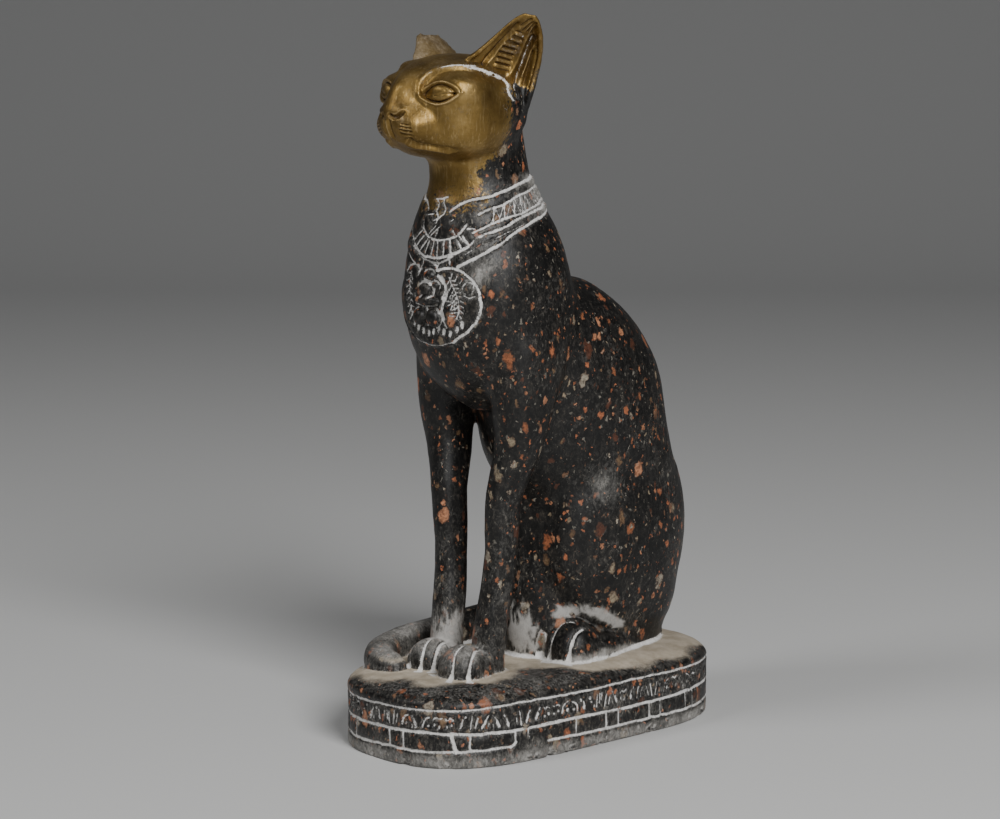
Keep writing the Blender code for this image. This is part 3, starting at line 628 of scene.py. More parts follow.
# Strokes of the collar: its lines on both sides, and bars and a zigzag between two of them.
def necklaceStrokes():
    upper, lower = (np.array(necklace["lines"][k][1]) for k in (1, 2))
    first, last = necklace["barsReach"]
    u = np.arange(first - 1.0, last, necklace["zigzagStep"])
    swing = np.where(np.arange(len(u)) % 2, np.interp(u, *upper.T) - 0.7, np.interp(u, *lower.T) + 0.7)
    strokes = [(halfWidth, smoothRows(rows, 4)) for halfWidth, rows in necklace["lines"]]
    strokes.append((0.22, np.stack([u, swing], axis=1)))
    for s in np.arange(first, last, necklace["barStep"]):
        strokes.append((0.30, [(s, np.interp(s, *upper.T)), (s - 0.3, np.interp(s, *lower.T))]))
    return bothSides(strokes, necklace["middle"])


# Strokes of the fan under the collar: its edges, rays, stems, vase and links.
def bibStrokes():
    return [(halfWidth, route) for name, halfWidth in bib["halfWidths"].items() for route in bib[name]]


# Strokes of the disc: lines and rim, rings round the raised forms, beads, a star of spokes, and
# the ticks on its feathers.
def discStrokes():
    d = breastDisc
    strokes = d["strokes"] + [(halfWidth, d[name]) for name, halfWidth in d["halfWidths"].items()]
    strokes += [(wide, oval(*ring)) for wide, ring in d["outlines"]]
    strokes += [(0.70, [(a - 0.2, h - 0.6), (a + 0.2, h + 0.6)]) for a, h in d["beads"]]
    for turn in np.radians(np.arange(10, 360, 40)):
        spoke = np.outer(d["starReach"], (math.cos(turn), math.sin(turn))) + d["star"]
        strokes.append((0.27, spoke))
    for name, rows in d["ticks"].items():
        for row in rows:
            strokes += ticks(d[name], *row)
    return strokes


# Strokes round the plinth: its four lines, dividers between the second and the lowest, and marks.
def plinthStrokes():
    b = plinthBand
    rows = [np.array(b[name], float) for name in ("top", "middle", "bottom", "bottomRest")]
    strokes = list(zip(b["halfWidths"], rows))
    for s, slant in b["dividers"]:
        high = np.interp(s, *rows[1].T)
        low = np.interp(s, *(rows[2] if s < 55 else rows[3]).T)
        strokes.append((0.40 + 0.35 * (slant > 1), [(s, high), (s + slant, low)]))
    return strokes + [(0.36, b["spur"])] + bandMarks()


face = dict(
    eyeMiddle=np.array((13.6, -52.8, 198.1)), eyeAlong=np.array((0.886, 0.459, 0.07)), eyeReach=5.6,
    openAbove=3.2, openBelow=2.8, eyePower=1.75,
    # brow: angle in degrees round the eye and distance from it
    brow=[(0, 16.5), (9.6, 16.7), (20, 14.9), (36, 12.6), (44, 11.7), (53, 10.6), (63, 9.75), (76, 8.9),
          (90, 8.3), (103, 8.0), (119, 7.9), (131, 7.8), (146, 7.5), (162, 7.3), (178, 7.0), (200, 7.0)],
    crescent=[(12.6, -53.9, 197.3), (13.6, -53.4, 197.3), (15.1, -52.8, 197.9), (16.5, -52.0, 198.6),
              (16.1, -52.1, 199.3)],
    lowerRidge=[(7.8, -56.2, 195.9), (9.5, -55.1, 194.1), (11.9, -53.7, 194.0), (15.2, -52.5, 194.5),
                (17.0, -51.6, 195.3), (19.5, -49.5, 197.4)],
    rim=[(19.6, -49.2, 199.0), (19.2, -49.8, 197.9), (18.2, -50.8, 196.8), (16.7, -52.0, 196.2)],
    mouth=[(-60, 183.2), (-58.5, 182.0), (-56.5, 181.2), (-51.7, 180.5), (-48.7, 180.0), (-45.4, 179.0)],
    slits=[((6.0, 188.3), (8.2, 187.9)), ((5.4, 187.3), (8.6, 186.8)), ((5.0, 186.2), (8.6, 185.7)),
           ((4.9, 185.1), (8.2, 184.4))],
    nostril=[(1.9, 191.0), (3.0, 190.3), (4.6, 190.6), (5.6, 191.6)],
    # height above or depth below the surface, and width
    ridges=dict(crescent=(-0.45, 0.45), lowerRidge=(0.35, 0.6), rim=(0.3, 0.4)),
)
earCarving = dict(
    origin=np.array((15.0, -28.0, 205.0)),
    along=np.array((0.4345, 0.2367, 0.8690)), across=np.array((0.1591, 0.9295, -0.3328)),
    facing=np.array((0.8865, -0.2829, -0.3662)),
    frontGroove=[(-7.6, -1.0), (-7.2, 0.6), (-6.2, 3.1), (-5.2, 6), (-4.4, 9.1), (-3.7, 11.9),
                 (-3.2, 14.5), (-3, 17.3)],
    frontRidge=[(-6.8, -0.6), (-5, 1.9), (-4.1, 4.1), (-4, 6.7), (-3.3, 9.4), (-2.4, 12), (-1.8, 14)],
    ribs=[((-0.9, 14.0), (1.6, 14.2)), ((-1.5, 11.7), (2.1, 11.7)), ((-2.7, 9.3), (2.6, 9.6)),
          ((-2.9, 7.2), (3, 7.8)), ((-3.1, 5.2), (3.2, 5.8)), ((-3.4, 3.3), (3.2, 4.1)),
          ((-3.5, 1.5), (3.2, 2.3)), ((-3.5, 0), (3.0, 0.7))],
    middleRidge=[(3, 13.6), (4, 9.4), (4.3, 5.2), (4, 2.1), (3.2, -0.4), (2.9, -1.9), (4.4, -3.4),
                 (5.9, -4.2)],
    chalkGroove=[(4.6, 15.5), (6.2, 9.5), (6.7, 5.6), (6.5, 1.6), (6.6, -1), (6.0, -2.6), (7.6, -4.6)],
    thinRidge=[(6.6, 12.9), (7.6, 8.5), (7.9, 4.7), (7.8, 1.8)],
    rearGroove=[(7.8, 10.8), (8.6, 7.8), (9, 4.9), (9.4, 2.4), (9.3, -0.1)],
    rearRim=[(5.9, 16), (8.8, 10.6), (10.5, 5.5), (11.2, 0.6), (11.2, -3.2), (12, -6)],
    hairs=[((-1.5, 17.5), (-0.6, 21)), ((0.2, 16), (0.8, 20)), ((1.8, 16.5), (1.6, 20.5)),
           ((3.2, 16.5), (2.4, 19.5))],
    foot=[(-14.3, -1.8), (-11.7, -1.1), (-9.4, -0.9), (-7.3, -0.8), (-4.3, -0.8), (-1.5, -0.9),
          (0.9, -1.1), (2.2, -1.7), (1.9, -2.8), (2.8, -4), (5.9, -5.8)],
    # height above or depth below the surface, and width
    ridges=dict(frontGroove=(-1.0, 0.75), frontRidge=(0.45, 0.6), middleRidge=(0.9, 0.95),
                chalkGroove=(-0.9, 0.8), thinRidge=(0.5, 0.45), rearGroove=(-0.6, 0.5), rearRim=(0.6, 1.2)),
)


# Sum of the ridges and grooves of a piece: height times a bump of the distance to each route.
def ridgeLift(points, piece):
    return sum(height * bump(routeDistance(points, piece[name]), width)
               for name, (height, width) in piece["ridges"].items())


# The same on both sides: points with x made positive.
def folded(points):
    return np.abs(points) * (1, 0, 0) + points * (0, 1, 1)


# Across and up from the middle of the eye, in the plane that faces out of it.
def eyeChart(points):
    along = face["eyeAlong"] / np.linalg.norm(face["eyeAlong"])
    up = np.array((0, 0, 1.0)) - along * along[2]
    gap = folded(points) - face["eyeMiddle"]
    return np.stack([gap @ along, gap @ (up / np.linalg.norm(up))], axis=1)


# Inside of the eye's opening, in parts: one less an almond's power sum, times its height.
def inEye(points):
    u, v = eyeChart(points).T
    tall, power = np.where(v > 0, face["openAbove"], face["openBelow"]), face["eyePower"]
    reach = (np.abs(u / face["eyeReach"]) ** power + np.abs(v / tall) ** power) ** (1 / power)
    return np.where(np.abs(u) + np.abs(v) < 14, (1 - reach) * 3.3, -9.0)


# How far inside the brow's line a point is: its line's reach at that angle less the point's own.
def inBrow(points):
    u, v = eyeChart(points).T
    angle = np.degrees(np.arctan2(v, u)) % 360
    return np.interp(angle, *np.array(face["brow"]).T) - np.hypot(u, v)


# Relief of the face: eyelids round the opening, a ridge along the brow with a hollow inside it, the
# mouth's groove over a lip, and the nose and whisker slits at the tip.
def faceLift(points):
    q = folded(points)
    u, v = eyeChart(points).T
    x, y, h = q.T
    eye, brow = inEye(points), inBrow(points)
    lift = 0.55 * bump(eye + 0.75, 0.5) - 0.75 * bump(eye - 0.05, 0.34) + 0.42 * ramp(0.2, 2.0, eye)
    lift += ridgeLift(q, face)
    over = ramp(-1.5, 0.5, v) * ramp(14.5, 9.0, u) * ramp(-9, -7, u)
    lift += over * (0.45 * bump(brow + 0.7, 0.7) - 1.15 * ramp(-0.1, 0.9, brow) * ramp(6.0, 1.5, brow))
    below = np.interp(y, *np.array(face["mouth"]).T) - h
    onMouth = ramp(-61, -59.5, y) * ramp(-44.8, -46.5, y) * ramp(1.0, 2.5, x)
    lift += onMouth * (0.65 * bump(below - 0.95, 0.40) - 1.0 * bump(below, 0.45))
    frontal = q[:, (0, 2)]
    tip = (0.55 * bump(x, 0.55) - 0.55 * bump(x - 1.35, 0.5)) * ramp(182.5, 184.5, h) * ramp(190, 188.8, h)
    tip -= 1.1 * ramp(-0.9, 0.1, inStrokes(frontal, [(0.25, face["nostril"])]))
    tip -= 0.60 * ramp(-0.5, 0.1, inStrokes(frontal, [(0.06, slit) for slit in face["slits"]]))
    tip += 0.5 * bump(np.hypot(x - 5.2, h - 192.4), 1.3)
    return (lift + (y < -54) * tip) * ((y < -24) & (h > 172))


# Across and up on the ear's face, and how squarely the surface looks out of it.
def earChart(points, normals):
    gap = folded(points) - earCarving["origin"]
    look = normals * np.stack([np.sign(points[:, 0])] + [np.ones(len(points))] * 2, axis=1)
    chart = np.stack([gap @ earCarving["across"], gap @ earCarving["along"]], axis=1)
    return chart, look @ earCarving["facing"]


# Relief of the ear's face: its ridges and grooves, ribs in the hollow and hairs above them.
def earLift(points, normals):
    chart, look = earChart(points, normals)
    near = (points[:, 2] > 193) & (np.abs(points[:, 0]) > 11) & (chart[:, 1] > -7)
    lift = np.zeros(len(points))
    c = chart[near]
    ribs = inStrokes(c, [(0.45, rib) for rib in earCarving["ribs"]])
    between = inStrokes(c, [(3.0, ((-0.5, 12.5), (0, 3), (0, 1)))])
    on = ridgeLift(c, earCarving) + (0.75 * ramp(-0.5, 0.1, ribs) - 0.45) * ramp(-0.2, 0.6, between)
    on -= 0.6 * ramp(-0.5, 0.1, inStrokes(c, [(0.15, hair) for hair in earCarving["hairs"]]))
    lift[near] = on * ramp(0.1, 0.5, look[near]) * ramp(-6.5, -2.5, c[:, 1])
    return lift


# Raised forms and cut strokes of the breast: domes are the roots of one less the squared reach.
def breastLift(points, cut):
    y, h = points[:, 1], points[:, 2]
    a = breastChart(points)[:, 0]
    u = np.abs(a - necklace["middle"])
    low, high = (np.interp(u, *np.array(necklace["lines"][k][1]).T) for k in (5, 0))
    band = ramp(low - 0.9, low + 0.3, h) * ramp(high + 0.9, high - 0.3, h) * ramp(9.0, 12.0, u)
    fan = ramp(17.2, 16.2, np.hypot(a - 3.0, h - 158.2)) * ramp(2, -1, h - 158)
    disc = ramp(1.05, 0.98, np.hypot((a - 1.0) / 20.2, (h - 126.6) / 13.6))
    front = y < -22
    lift = np.maximum(0.7 * band, front * np.maximum(0.7 * fan, 0.8 * disc))
    for middleA, middleH, halfA, halfH, tall in breastDisc["domes"]:
        reach = ((a - middleA) / halfA) ** 2 + ((h - middleH) / halfH) ** 2
        lift += front * (tall * np.sqrt(np.clip(1 - reach, 0, 1)) - 0.3 * bump(np.sqrt(reach) - 1.08, 0.12))
    return (lift - carving["strokes"] * ramp(-0.45, 0.15, cut)) * onBreast(h)


# Inside of the lines between the toes, wider at the ground. Points and lines are both drawn onto
# the paw's dome, along the way from its middle.
def inToeLines(points):
    inside = np.full(len(points), farOut)
    for (side, *row, _), lines in zip(cat["paws"], cat["toeLines"]):
        middle, half = pawDome(*row)
        reach = (points * (side, 1, 1) - middle) / half
        size = np.linalg.norm(reach, axis=1)
        near = np.flatnonzero((size > 0.7) & (size < 1.3) & (points[:, 2] > -1.5))
        onDome = half * reach[near] / size[near, None]
        halfWidth = 0.45 + 0.40 * ramp(5.0, 0.5, points[near, 2])
        for line in lines:
            route = (smoothRows(line, 4) - middle) / half
            gap = routeDistance(onDome, half * route / np.linalg.norm(route, axis=1)[:, None])
            inside[near] = np.maximum(inside[near], halfWidth - gap)
    return inside


# Inside of all the strokes: their charts pushed about by noise, so that the lines waver.
def allStrokes(points):
    h = points[:, 2]
    waver = 0.26 * np.stack([noise(points, 2.6, 31), noise(points, 2.6, 32)], axis=1)
    breast = inStrokes(breastChart(points) + waver, necklaceStrokes() + bibStrokes() + discStrokes()) - 0.06
    band = inStrokes(plinthChart(points) + waver, plinthStrokes())
    inside = np.maximum(np.where(onBreast(h), breast, farOut), np.where(onSide(h), band, farOut))
    return inside + 0.10 * noise(points, 1.6, 33)


# Cuts the faces of finely carved places in four.
def refined(mesh, points):
    mesh.vertices.foreach_set("co", points.ravel())
    mesh.update()
    x, y, h = vectors(mesh.polygons, "center").T
    x = np.abs(x)
    fine = (y < -38) & (h > 176) & (h < 209)                            # muzzle and eyes
    fine |= (x > 10) & (h > 194)                                        # ears
    fine |= (y < -22) & (h > 110) & (h < 165)                           # breast
    fine |= (h > 138 + 0.35 * (y + 45)) & (h < 174) & (h > 130)         # collar
    fine |= (h > -14.5) & (h < -5)                                      # the plinth's band
    fine |= (h > -1) & (h < 12) & (y < -24) & (x < 24)                  # forepaws
    cells = bmesh.new()
    cells.from_mesh(mesh)
    cells.faces.ensure_lookup_table()
    edges = {edge for index in np.flatnonzero(fine) for edge in cells.faces[index].edges}
    bmesh.ops.subdivide_edges(cells, edges=list(edges), cuts=1, use_grid_fill=True)
    bmesh.ops.triangulate(cells, faces=[face for face in cells.faces if len(face.verts) > 4])
    cells.to_mesh(mesh)
    cells.free()
    mesh.update()
    return vectors(mesh.vertices, "co")


# Ends of a mesh's edges, two to a row.
def readEdges(mesh):
    edges = np.empty(len(mesh.edges) * 2, np.int32)
    mesh.edges.foreach_get("vertices", edges)
    return edges.reshape(-1, 2)


print("melting the forms into one skin")
skins, faces, start = [], [], 0
for formPoints, formFaces in allForms():
    skins.append(formPoints)
    faces += [[start + corner for corner in formFace] for formFace in formFaces]
    start += len(formPoints)
statue = makeObject("carvedStatue", np.vstack(skins), faces)
mesh = applied(statue, "REMESH", mode="VOXEL", voxel_size=shaping["voxel"])
points = vectors(mesh.vertices, "co")
edges = readEdges(mesh)
print("skin of", len(points), "points")

x, y, h = points.T
body = ramp(14, 24, h) * ramp(188, 180, h) * np.maximum(ramp(-16, -8, y), ramp(84, 96, h))
ears = ramp(199, 204, h) * ramp(10, 13, np.abs(x))
points = softened(points, edges, body, shaping["bodyRounds"], False)
points = softened(points, edges, ears, shaping["earRounds"], False)
points = softened(points, edges, ramp(-25.5, -24, h), shaping["fineRounds"], True)
points = refined(mesh, points)
edges = readEdges(mesh)
points = softened(points, edges, ramp(-25.5, -24, points[:, 2]), shaping["lastRounds"], True)
print("refined to", len(points), "points")


# Puts the points into the mesh, and gives the way its surface looks at each of them.
def readNormals():
    mesh.vertices.foreach_set("co", points.ravel())
    mesh.update()
    return vectors(mesh.vertices, "normal")


normals = readNormals()
print("carving")
cut = allStrokes(points)
x, y, h = points.T
stone = ramp(-25.5, -23, h)      # all but the underside
lift = breastLift(points, cut) + faceLift(points) + earLift(points, normals)
lift -= carving["strokes"] * ramp(-0.45, 0.15, cut) * onSide(h)
lift -= carving["toes"] * ramp(-0.6, 0.3, inToeLines(points)) * ramp(0.2, 1.2, h)
chipped = noise(points, 3.4, 3) + 0.7 * noise(points, 1.4, 4)
lift -= carving["chips"] * ramp(0.2, 1.0, chipped) * ramp(-21, -25, h) * (np.hypot(x / 37.7, y / 70) > 0.6)
lift += carving["grain"] * noise(points, 3.0, 5) * stone + carving["waves"] * noise(points, 11.0, 6) * stone
points = brokenOff(points + normals * lift[:, None])
points[:, 2] = np.maximum(points[:, 2], underside)
normals = readNormals()
smooth = softened(points, edges, np.ones(len(points)), shaping["hollowRounds"], False)
hollow = ((smooth - points) * normals).sum(1)      # above 0 in hollows, below 0 on edges
mesh.attributes.new("hollow", "FLOAT", "POINT").data.foreach_set("value", hollow)
mesh.vertices.foreach_set("co", ((points * part) + (0, 0, plinth["height"])).ravel())
mesh.update()
corners = sum(len(face.vertices) for face in mesh.polygons) - 2 * len(mesh.polygons)
mesh = applied(statue, "DECIMATE", ratio=shaping["triangles"] / corners)
mesh.shade_smooth()
print("thinned out to", len(mesh.polygons), "faces")
points = (vectors(mesh.vertices, "co") - (0, 0, plinth["height"])) / part
normals = vectors(mesh.vertices, "normal")
hollow = np.empty(len(points), np.float32)
mesh.attributes["hollow"].data.foreach_get("value", hollow)
print("hollow", hollow.min(), hollow.max(), len(points), "points")


layers = dict(
    # border of the gold: height, and place along the cat
    goldBorder=[(150, -30), (165, -29.5), (178, -29), (182, -27), (187, -28.4), (192, -29.2), (200, -28.3),
                (203, -24), (206, -19)],
    goldFoot=161.5, earGold=11.6,
    # what stands on the plinth, seen from above: middle and half widths
    feet=[((9.0, -38.8), (8.8, 11)), ((15.6, 6), (9.6, 11)), ((10, 27), (18, 34)), ((0, 30), (10, 33))],
    # masses of chalk between the legs: amount, middle and half widths
    masses=[(0.70, (-6.5, -32, 9), (7, 6, 9)), (0.95, (3.5, -8, 8.5), (7.5, 5, 8.5))],
    # painted sheen on the haunch near the knee: middle and half widths
    paintedKneeSheen=((24.0, 14.0, 62.0), (9.0, 9.0, 13.0)),
    # chalk along the crease over the hind foot and at the haunch's foot
    crease=[(13.1, 0.9, 16.1), (15.4, 4.9, 16.7), (18.6, 8.7, 16.9), (20.4, 12.6, 15.6),
            (21.3, 17.3, 13.5), (21.3, 22.8, 10.6)],
    contact=[(8.0, -3.4, 0.2), (23.9, -1.0, 0.9), (25.6, 5.7, 1.8), (23.9, 17.6, 1.8), (19.0, 35.0, 0.0)],
)


# How far into an ellipsoid points are: 0 at its middle and 1 on its skin.
def reachIn(points, middle, half):
    return np.linalg.norm((points - middle) / half, axis=1)


# Chalk in the cut lines, along the brow, under the ears and between the toes.
def chalkDepth(points, normals, hollow):
    x, h = points[:, 0], points[:, 2]
    chalk = allStrokes(points) - 0.06
    u, v = eyeChart(points).T
    gone = 0.45 * ramp(0.1, 0.7, noise(points, 3.6, 41)) * ramp(4, -4, u)
    onBrow = 0.16 - np.abs(inBrow(points) + 0.2) - gone
    chalk = np.where((v > 3.0) & (u > -6.5) & (u < 9.5) & (h > 190), np.maximum(chalk, onBrow), chalk)
    chart, look = earChart(points, normals)
    lines = [(0.32, earCarving["foot"]), (0.02, earCarving["chalkGroove"])]
    ear = inStrokes(chart, lines + [(0.08, rib) for rib in earCarving["ribs"][:4]])
    ear = np.where(look > 0.0, ear, farOut) + 0.2 * noise(points, 1.8, 42)
    chalk = np.where((h > 193) & (np.abs(x) > 10), np.maximum(chalk, ear), chalk)
    toes = inToeLines(points) + 0.22 * noise(points, 2.2, 43) - 0.05
    foot = np.where((h < 2.0) & (h > -2.5), (hollow - 0.09) * 3.0, farOut)
    return np.maximum(chalk, np.maximum(toes, foot))


# Length inside the gilded part: in front of a border on the head, and before the ears' rear rims.
def goldDepth(points, normals, hollow):
    x, y, h = points.T
    chart = earChart(points, normals)[0]
    gold = (np.interp(h, *np.array(layers["goldBorder"]).T) - y) * 0.42
    gold = np.where((chart[:, 1] > -1.2) & (np.abs(x) > 9), layers["earGold"] - chart[:, 0], gold)
    # below height 179 the gold thins out: partly patchy gilding, partly painted shade under the chin
    return np.minimum(gold - 2.3 * ramp(179, 171, h), (h - layers["goldFoot"]) * 0.26)


# Distance on the plinth's top to what stands on it: ovals and the tail's route.
def footDistance(points):
    gap = routeDistance(points[:, :2], np.array(cat["tail"])[:, :2]) - 6.0
    for middle, half in layers["feet"]:
        gap = np.minimum(gap, (reachIn(folded(points)[:, :2], middle, half) - 1) * min(half))
    return gap


# Dust on the plinth's top near what stands on it, and thinly on the crown and the broken ear.
def dustShare(points, normals, hollow):
    x, h = points[:, 0], points[:, 2]
    top = ramp(0.35, 0.8, normals[:, 2]) * ramp(6, 2, h) * ramp(-7, -2, h)
    away = footDistance(points) + 2.4 * noise(points, 10.0, 55) + 1.2 * noise(points, 3.5, 56)
    dust = top * ramp(10.5, 1.5, away) + 0.16 * ramp(203, 208, h) * ramp(12, 9, np.abs(x))
    dust += 0.34 * ramp(202, 206, h) * ramp(-9, -12, x)
    return np.clip(dust + 0.15 * ramp(0.08, 0.3, hollow) * (h > -3) * (h < 40), 0, 1)


# Thin grey film of chalk, white above 1: on the lower legs, round the collar and the plinth's foot,
# and in a mass between the legs and along the crease over the hind feet; with a painted sheen on the haunch
# near the knee.
def hazeAndSheenShare(points, normals, hollow):
    y, h, up = points[:, 1], points[:, 2], normals[:, 2]
    a = breastChart(points)[:, 0]
    u = np.abs(a - necklace["middle"])
    cord = np.interp(u, *np.array(necklace["lines"][5][1]).T)
    legs = 0.24 * ramp(80, 6, h) * ramp(-14, -20, y) + 0.12 * ramp(26, 4, h) * (h > -2)
    legs += 0.3 * ramp(0.2, 0.9, up) * ramp(0, -30, y) * ramp(18, 12, h) * (h > 1)
    collar = ramp(-0.8, 0.2, h - cord) * ramp(172, 169, h) * ramp(9, 12, u) * (h > 130)
    patch = 0.72 * bump(h - cord + 6.0, 5.0) * bump(a - 21.0, 5.5) * (y < 0)
    filmAndSheen = np.maximum(np.maximum(legs, collar * (0.16 + 0.54 * ramp(22, 58, u))), patch)
    side = (0.13 + 0.52 * ramp(-19.0, -23.5, h)) * ramp(0.5, 0.2, up) + 0.22 * ramp(0.3, 0.8, up)
    filmAndSheen = np.where(h < 0, side, filmAndSheen) + 0.5 * ramp(0.06, 0.28, hollow) * (h < 60)
    # painted sheen, in the film's grey, where the haunch near the knee catches the light
    filmAndSheen += 0.32 * ramp(1.3, 0.2, reachIn(points, *layers["paintedKneeSheen"]))
    rough = 0.40 * noise(points, 3.2, 51) + 0.60 * noise(points, 1.1, 52)
    for amount, middle, half in layers["masses"]:
        filmAndSheen += amount * ramp(1.25, 0.6, reachIn(points, middle, half) + rough)
    crease, contact = (routeDistance(folded(points), layers[name]) for name in ("crease", "contact"))
    filmAndSheen += 1.1 * ramp(2.9, 1.2, crease + 1.8 * rough) + 0.7 * ramp(2.4, 0.5, contact + rough)
    return np.clip(filmAndSheen, 0, 1.15)


for name, share in dict(chalk=chalkDepth, gold=goldDepth, dust=dustShare, hazeAndSheen=hazeAndSheenShare).items():
    mesh.attributes.new(name, "FLOAT", "POINT").data.foreach_set("value", share(points, normals, hollow))
print("chalk, gold and dust laid out")


# Adds a node; each input is a value or the output of another node.
def node(tree, kind, inputs=None, **settings):
    item = tree.nodes.new(kind)
    for key, value in settings.items():
        setattr(item, key, value)
    for key, value in (inputs or {}).items():
        if isinstance(value, bpy.types.NodeSocket):
            tree.links.new(value, item.inputs[key])
        else:
            item.inputs[key].default_value = value
    return item


# Chain of one operation: the first value with the second, the result with the third, and so on.
def maths(tree, operation, first, *others):
    for value in others:
        first = node(tree, "ShaderNodeMath", {0: first, 1: value}, operation=operation).outputs[0]
    return first


# Colour a with a share of colour b over it.
def mixed(tree, share, a, b, blend="MIX"):
    a, b = ((*colour, 1) if isinstance(colour, tuple) else colour for colour in (a, b))
    return node(tree, "ShaderNodeMix", {0: share, 6: a, 7: b}, data_type="RGBA", blend_type=blend).outputs[2]


# Smooth step of a value from one edge to another.
def step(tree, value, start, end):
    return node(tree, "ShaderNodeMapRange", {0: value, 1: start, 2: end, 3: 0.0, 4: 1.0},
                interpolation_type="SMOOTHSTEP").outputs[0]


# Value of a noise texture at a place, or its colour.
def noiseOf(tree, vector, scale, detail=2.0, roughness=0.5, output=0):
    return node(tree, "ShaderNodeTexNoise", {"Vector": vector, "Scale": scale, "Detail": detail,
                                             "Roughness": roughness}).outputs[output]


# A place turned and squeezed for a pattern.
def drawnOut(tree, vector, turn, squeeze):
    return node(tree, "ShaderNodeMapping", {"Vector": vector, "Rotation": turn, "Scale": squeeze}).outputs[0]


# Colour for a value, from stops of place and colour.
def ramped(tree, value, stops, mode="LINEAR"):
    item = node(tree, "ShaderNodeValToRGB", {0: value})
    item.color_ramp.interpolation = mode
    while len(item.color_ramp.elements) < len(stops):
        item.color_ramp.elements.new(0.5)
    for element, (place, colour) in zip(item.color_ramp.elements, stops):
        element.position, element.color = place, (*colour, 1)
    return item.outputs[0]


# A group with named inputs and outputs; returns the tree, its input node and its output node.
def group(name, inputs, outputs):
    tree = bpy.data.node_groups.new(name, "ShaderNodeTree")
    for names, way in ((inputs, "INPUT"), (outputs, "OUTPUT")):
        for socketName, kind in names.items():
            tree.interface.new_socket(name=socketName, in_out=way, socket_type="NodeSocket" + kind)
    return tree, tree.nodes.new("NodeGroupInput"), tree.nodes.new("NodeGroupOutput")


# A group placed in a material with its own values.
def placed(tree, groupTree, inputs):
    return node(tree, "ShaderNodeGroup", inputs, node_tree=groupTree).outputs


# One size of stone chips: cells of a pattern, a share of which holds a chip. Depth is how far
# inside a chip a point is, in cells, and Hue the cell's own value.
def chipLayer():
    sockets = {"Vector": "Vector", "Scale": "Float", "Share": "Float", "Reach": "Float"}
    tree, given, out = group("stoneChips", sockets, {"Mask": "Float", "Depth": "Float", "Hue": "Float"})
    vector, scale, share, reach = (given.outputs[name] for name in sockets)
    cells = node(tree, "ShaderNodeTexVoronoi", {"Vector": vector, "Scale": scale, "Randomness": 1.0},
                 feature="F1")
    red, green, blue = node(tree, "ShaderNodeSeparateColor", {0: cells.outputs["Color"]}).outputs
    chosen = maths(tree, "LESS_THAN", red, share)
    size = maths(tree, "MULTIPLY", maths(tree, "ADD", maths(tree, "MULTIPLY", green, 0.65), 0.35), reach)
    inside = maths(tree, "MULTIPLY", maths(tree, "SUBTRACT", size, cells.outputs["Distance"]), chosen)
    for value, name in ((step(tree, inside, 0.0, 0.07), "Mask"), (inside, "Depth"), (blue, "Hue")):
        tree.links.new(value, out.inputs[name])
    return tree


# Fine scratches: noise drawn out along one direction, of which only the peaks are kept.
def scratchLayer():
    tree, given, out = group("fineScratches", {"Vector": "Vector", "Amount": "Float"}, {"Mask": "Float"})
    vector, lines = given.outputs["Vector"], []
    for turn, squeeze, low in (((0.1, 0.2, 0.0), (1300, 1300, 75), 0.66),
                               ((0.7, 0.5, 0.3), (1200, 90, 1200), 0.68)):
        peaks = noiseOf(tree, drawnOut(tree, vector, turn, squeeze), 1.0, 3.0, 0.6)
        lines.append(step(tree, peaks, low, low + 0.07))
    patches = step(tree, noiseOf(tree, vector, 60.0), 0.42, 0.68)
    total = maths(tree, "MULTIPLY", maths(tree, "MAXIMUM", *lines), patches, given.outputs["Amount"])
    tree.links.new(total, out.inputs["Mask"])
    return tree


chips, scratches = chipLayer(), scratchLayer()

finish = dict(
    # chips: cells to the metre, share of the cells, reach in cells
    chips=((165.0, 0.60, 0.42), (320.0, 0.52, 0.42), (680.0, 0.36, 0.42)),
    hues=((0.0, (0.085, 0.030, 0.016)), (0.14, (0.40, 0.135, 0.060)), (0.36, (0.30, 0.105, 0.045)),
          (0.50, (0.45, 0.20, 0.105)), (0.62, (0.17, 0.105, 0.055)), (0.76, (0.27, 0.22, 0.15)),
          (0.86, (0.24, 0.13, 0.075)), (0.94, (0.34, 0.30, 0.235))),
    chipRim=(0.055, 0.026, 0.015),
    chipInner=((0.32, (0.30, 0.27, 0.25)), (0.50, (0.85, 0.83, 0.80)), (0.70, (1.35, 1.35, 1.35))),
    stone=((0.30, (0.0042, 0.0039, 0.0036)), (0.52, (0.0080, 0.0074, 0.0068)),
           (0.80, (0.019, 0.0176, 0.016))),
    fibre=((0.34, (0.35, 0.35, 0.35)), (0.50, (1.0, 1.0, 1.0)), (0.66, (2.4, 2.3, 2.15))),
    grain=((0.38, (0.40, 0.40, 0.40)), (0.52, (1.0, 1.0, 1.0)), (0.68, (3.4, 3.25, 3.0))),
    speck=(0.24, 0.22, 0.18), scratch=(0.20, 0.19, 0.17),
    paint=((0.30, (0.13, 0.075, 0.020)), (0.55, (0.25, 0.158, 0.046)), (0.75, (0.42, 0.285, 0.11))),
    paintStreak=(0.70, 0.52, 0.26), paintGrain=(0.07, 0.04, 0.015),
    paintHollow=(0.050, 0.026, 0.010), paintedRidgeHighlight=(0.66, 0.48, 0.24),
    filmAndSheen=((0.235, 0.225, 0.205), (0.56, 0.54, 0.51)), bloom=(0.34, 0.33, 0.31),      # film: grey, and white
    chalk=((0.3, (0.58, 0.565, 0.54)), (0.6, (0.85, 0.835, 0.81))),
    dust=((0.35, (0.42, 0.355, 0.265)), (0.65, (0.60, 0.52, 0.41))),
    metal=0.85, specular=0.4, bumpStrength=0.45, bumpDistance=0.00035,
)
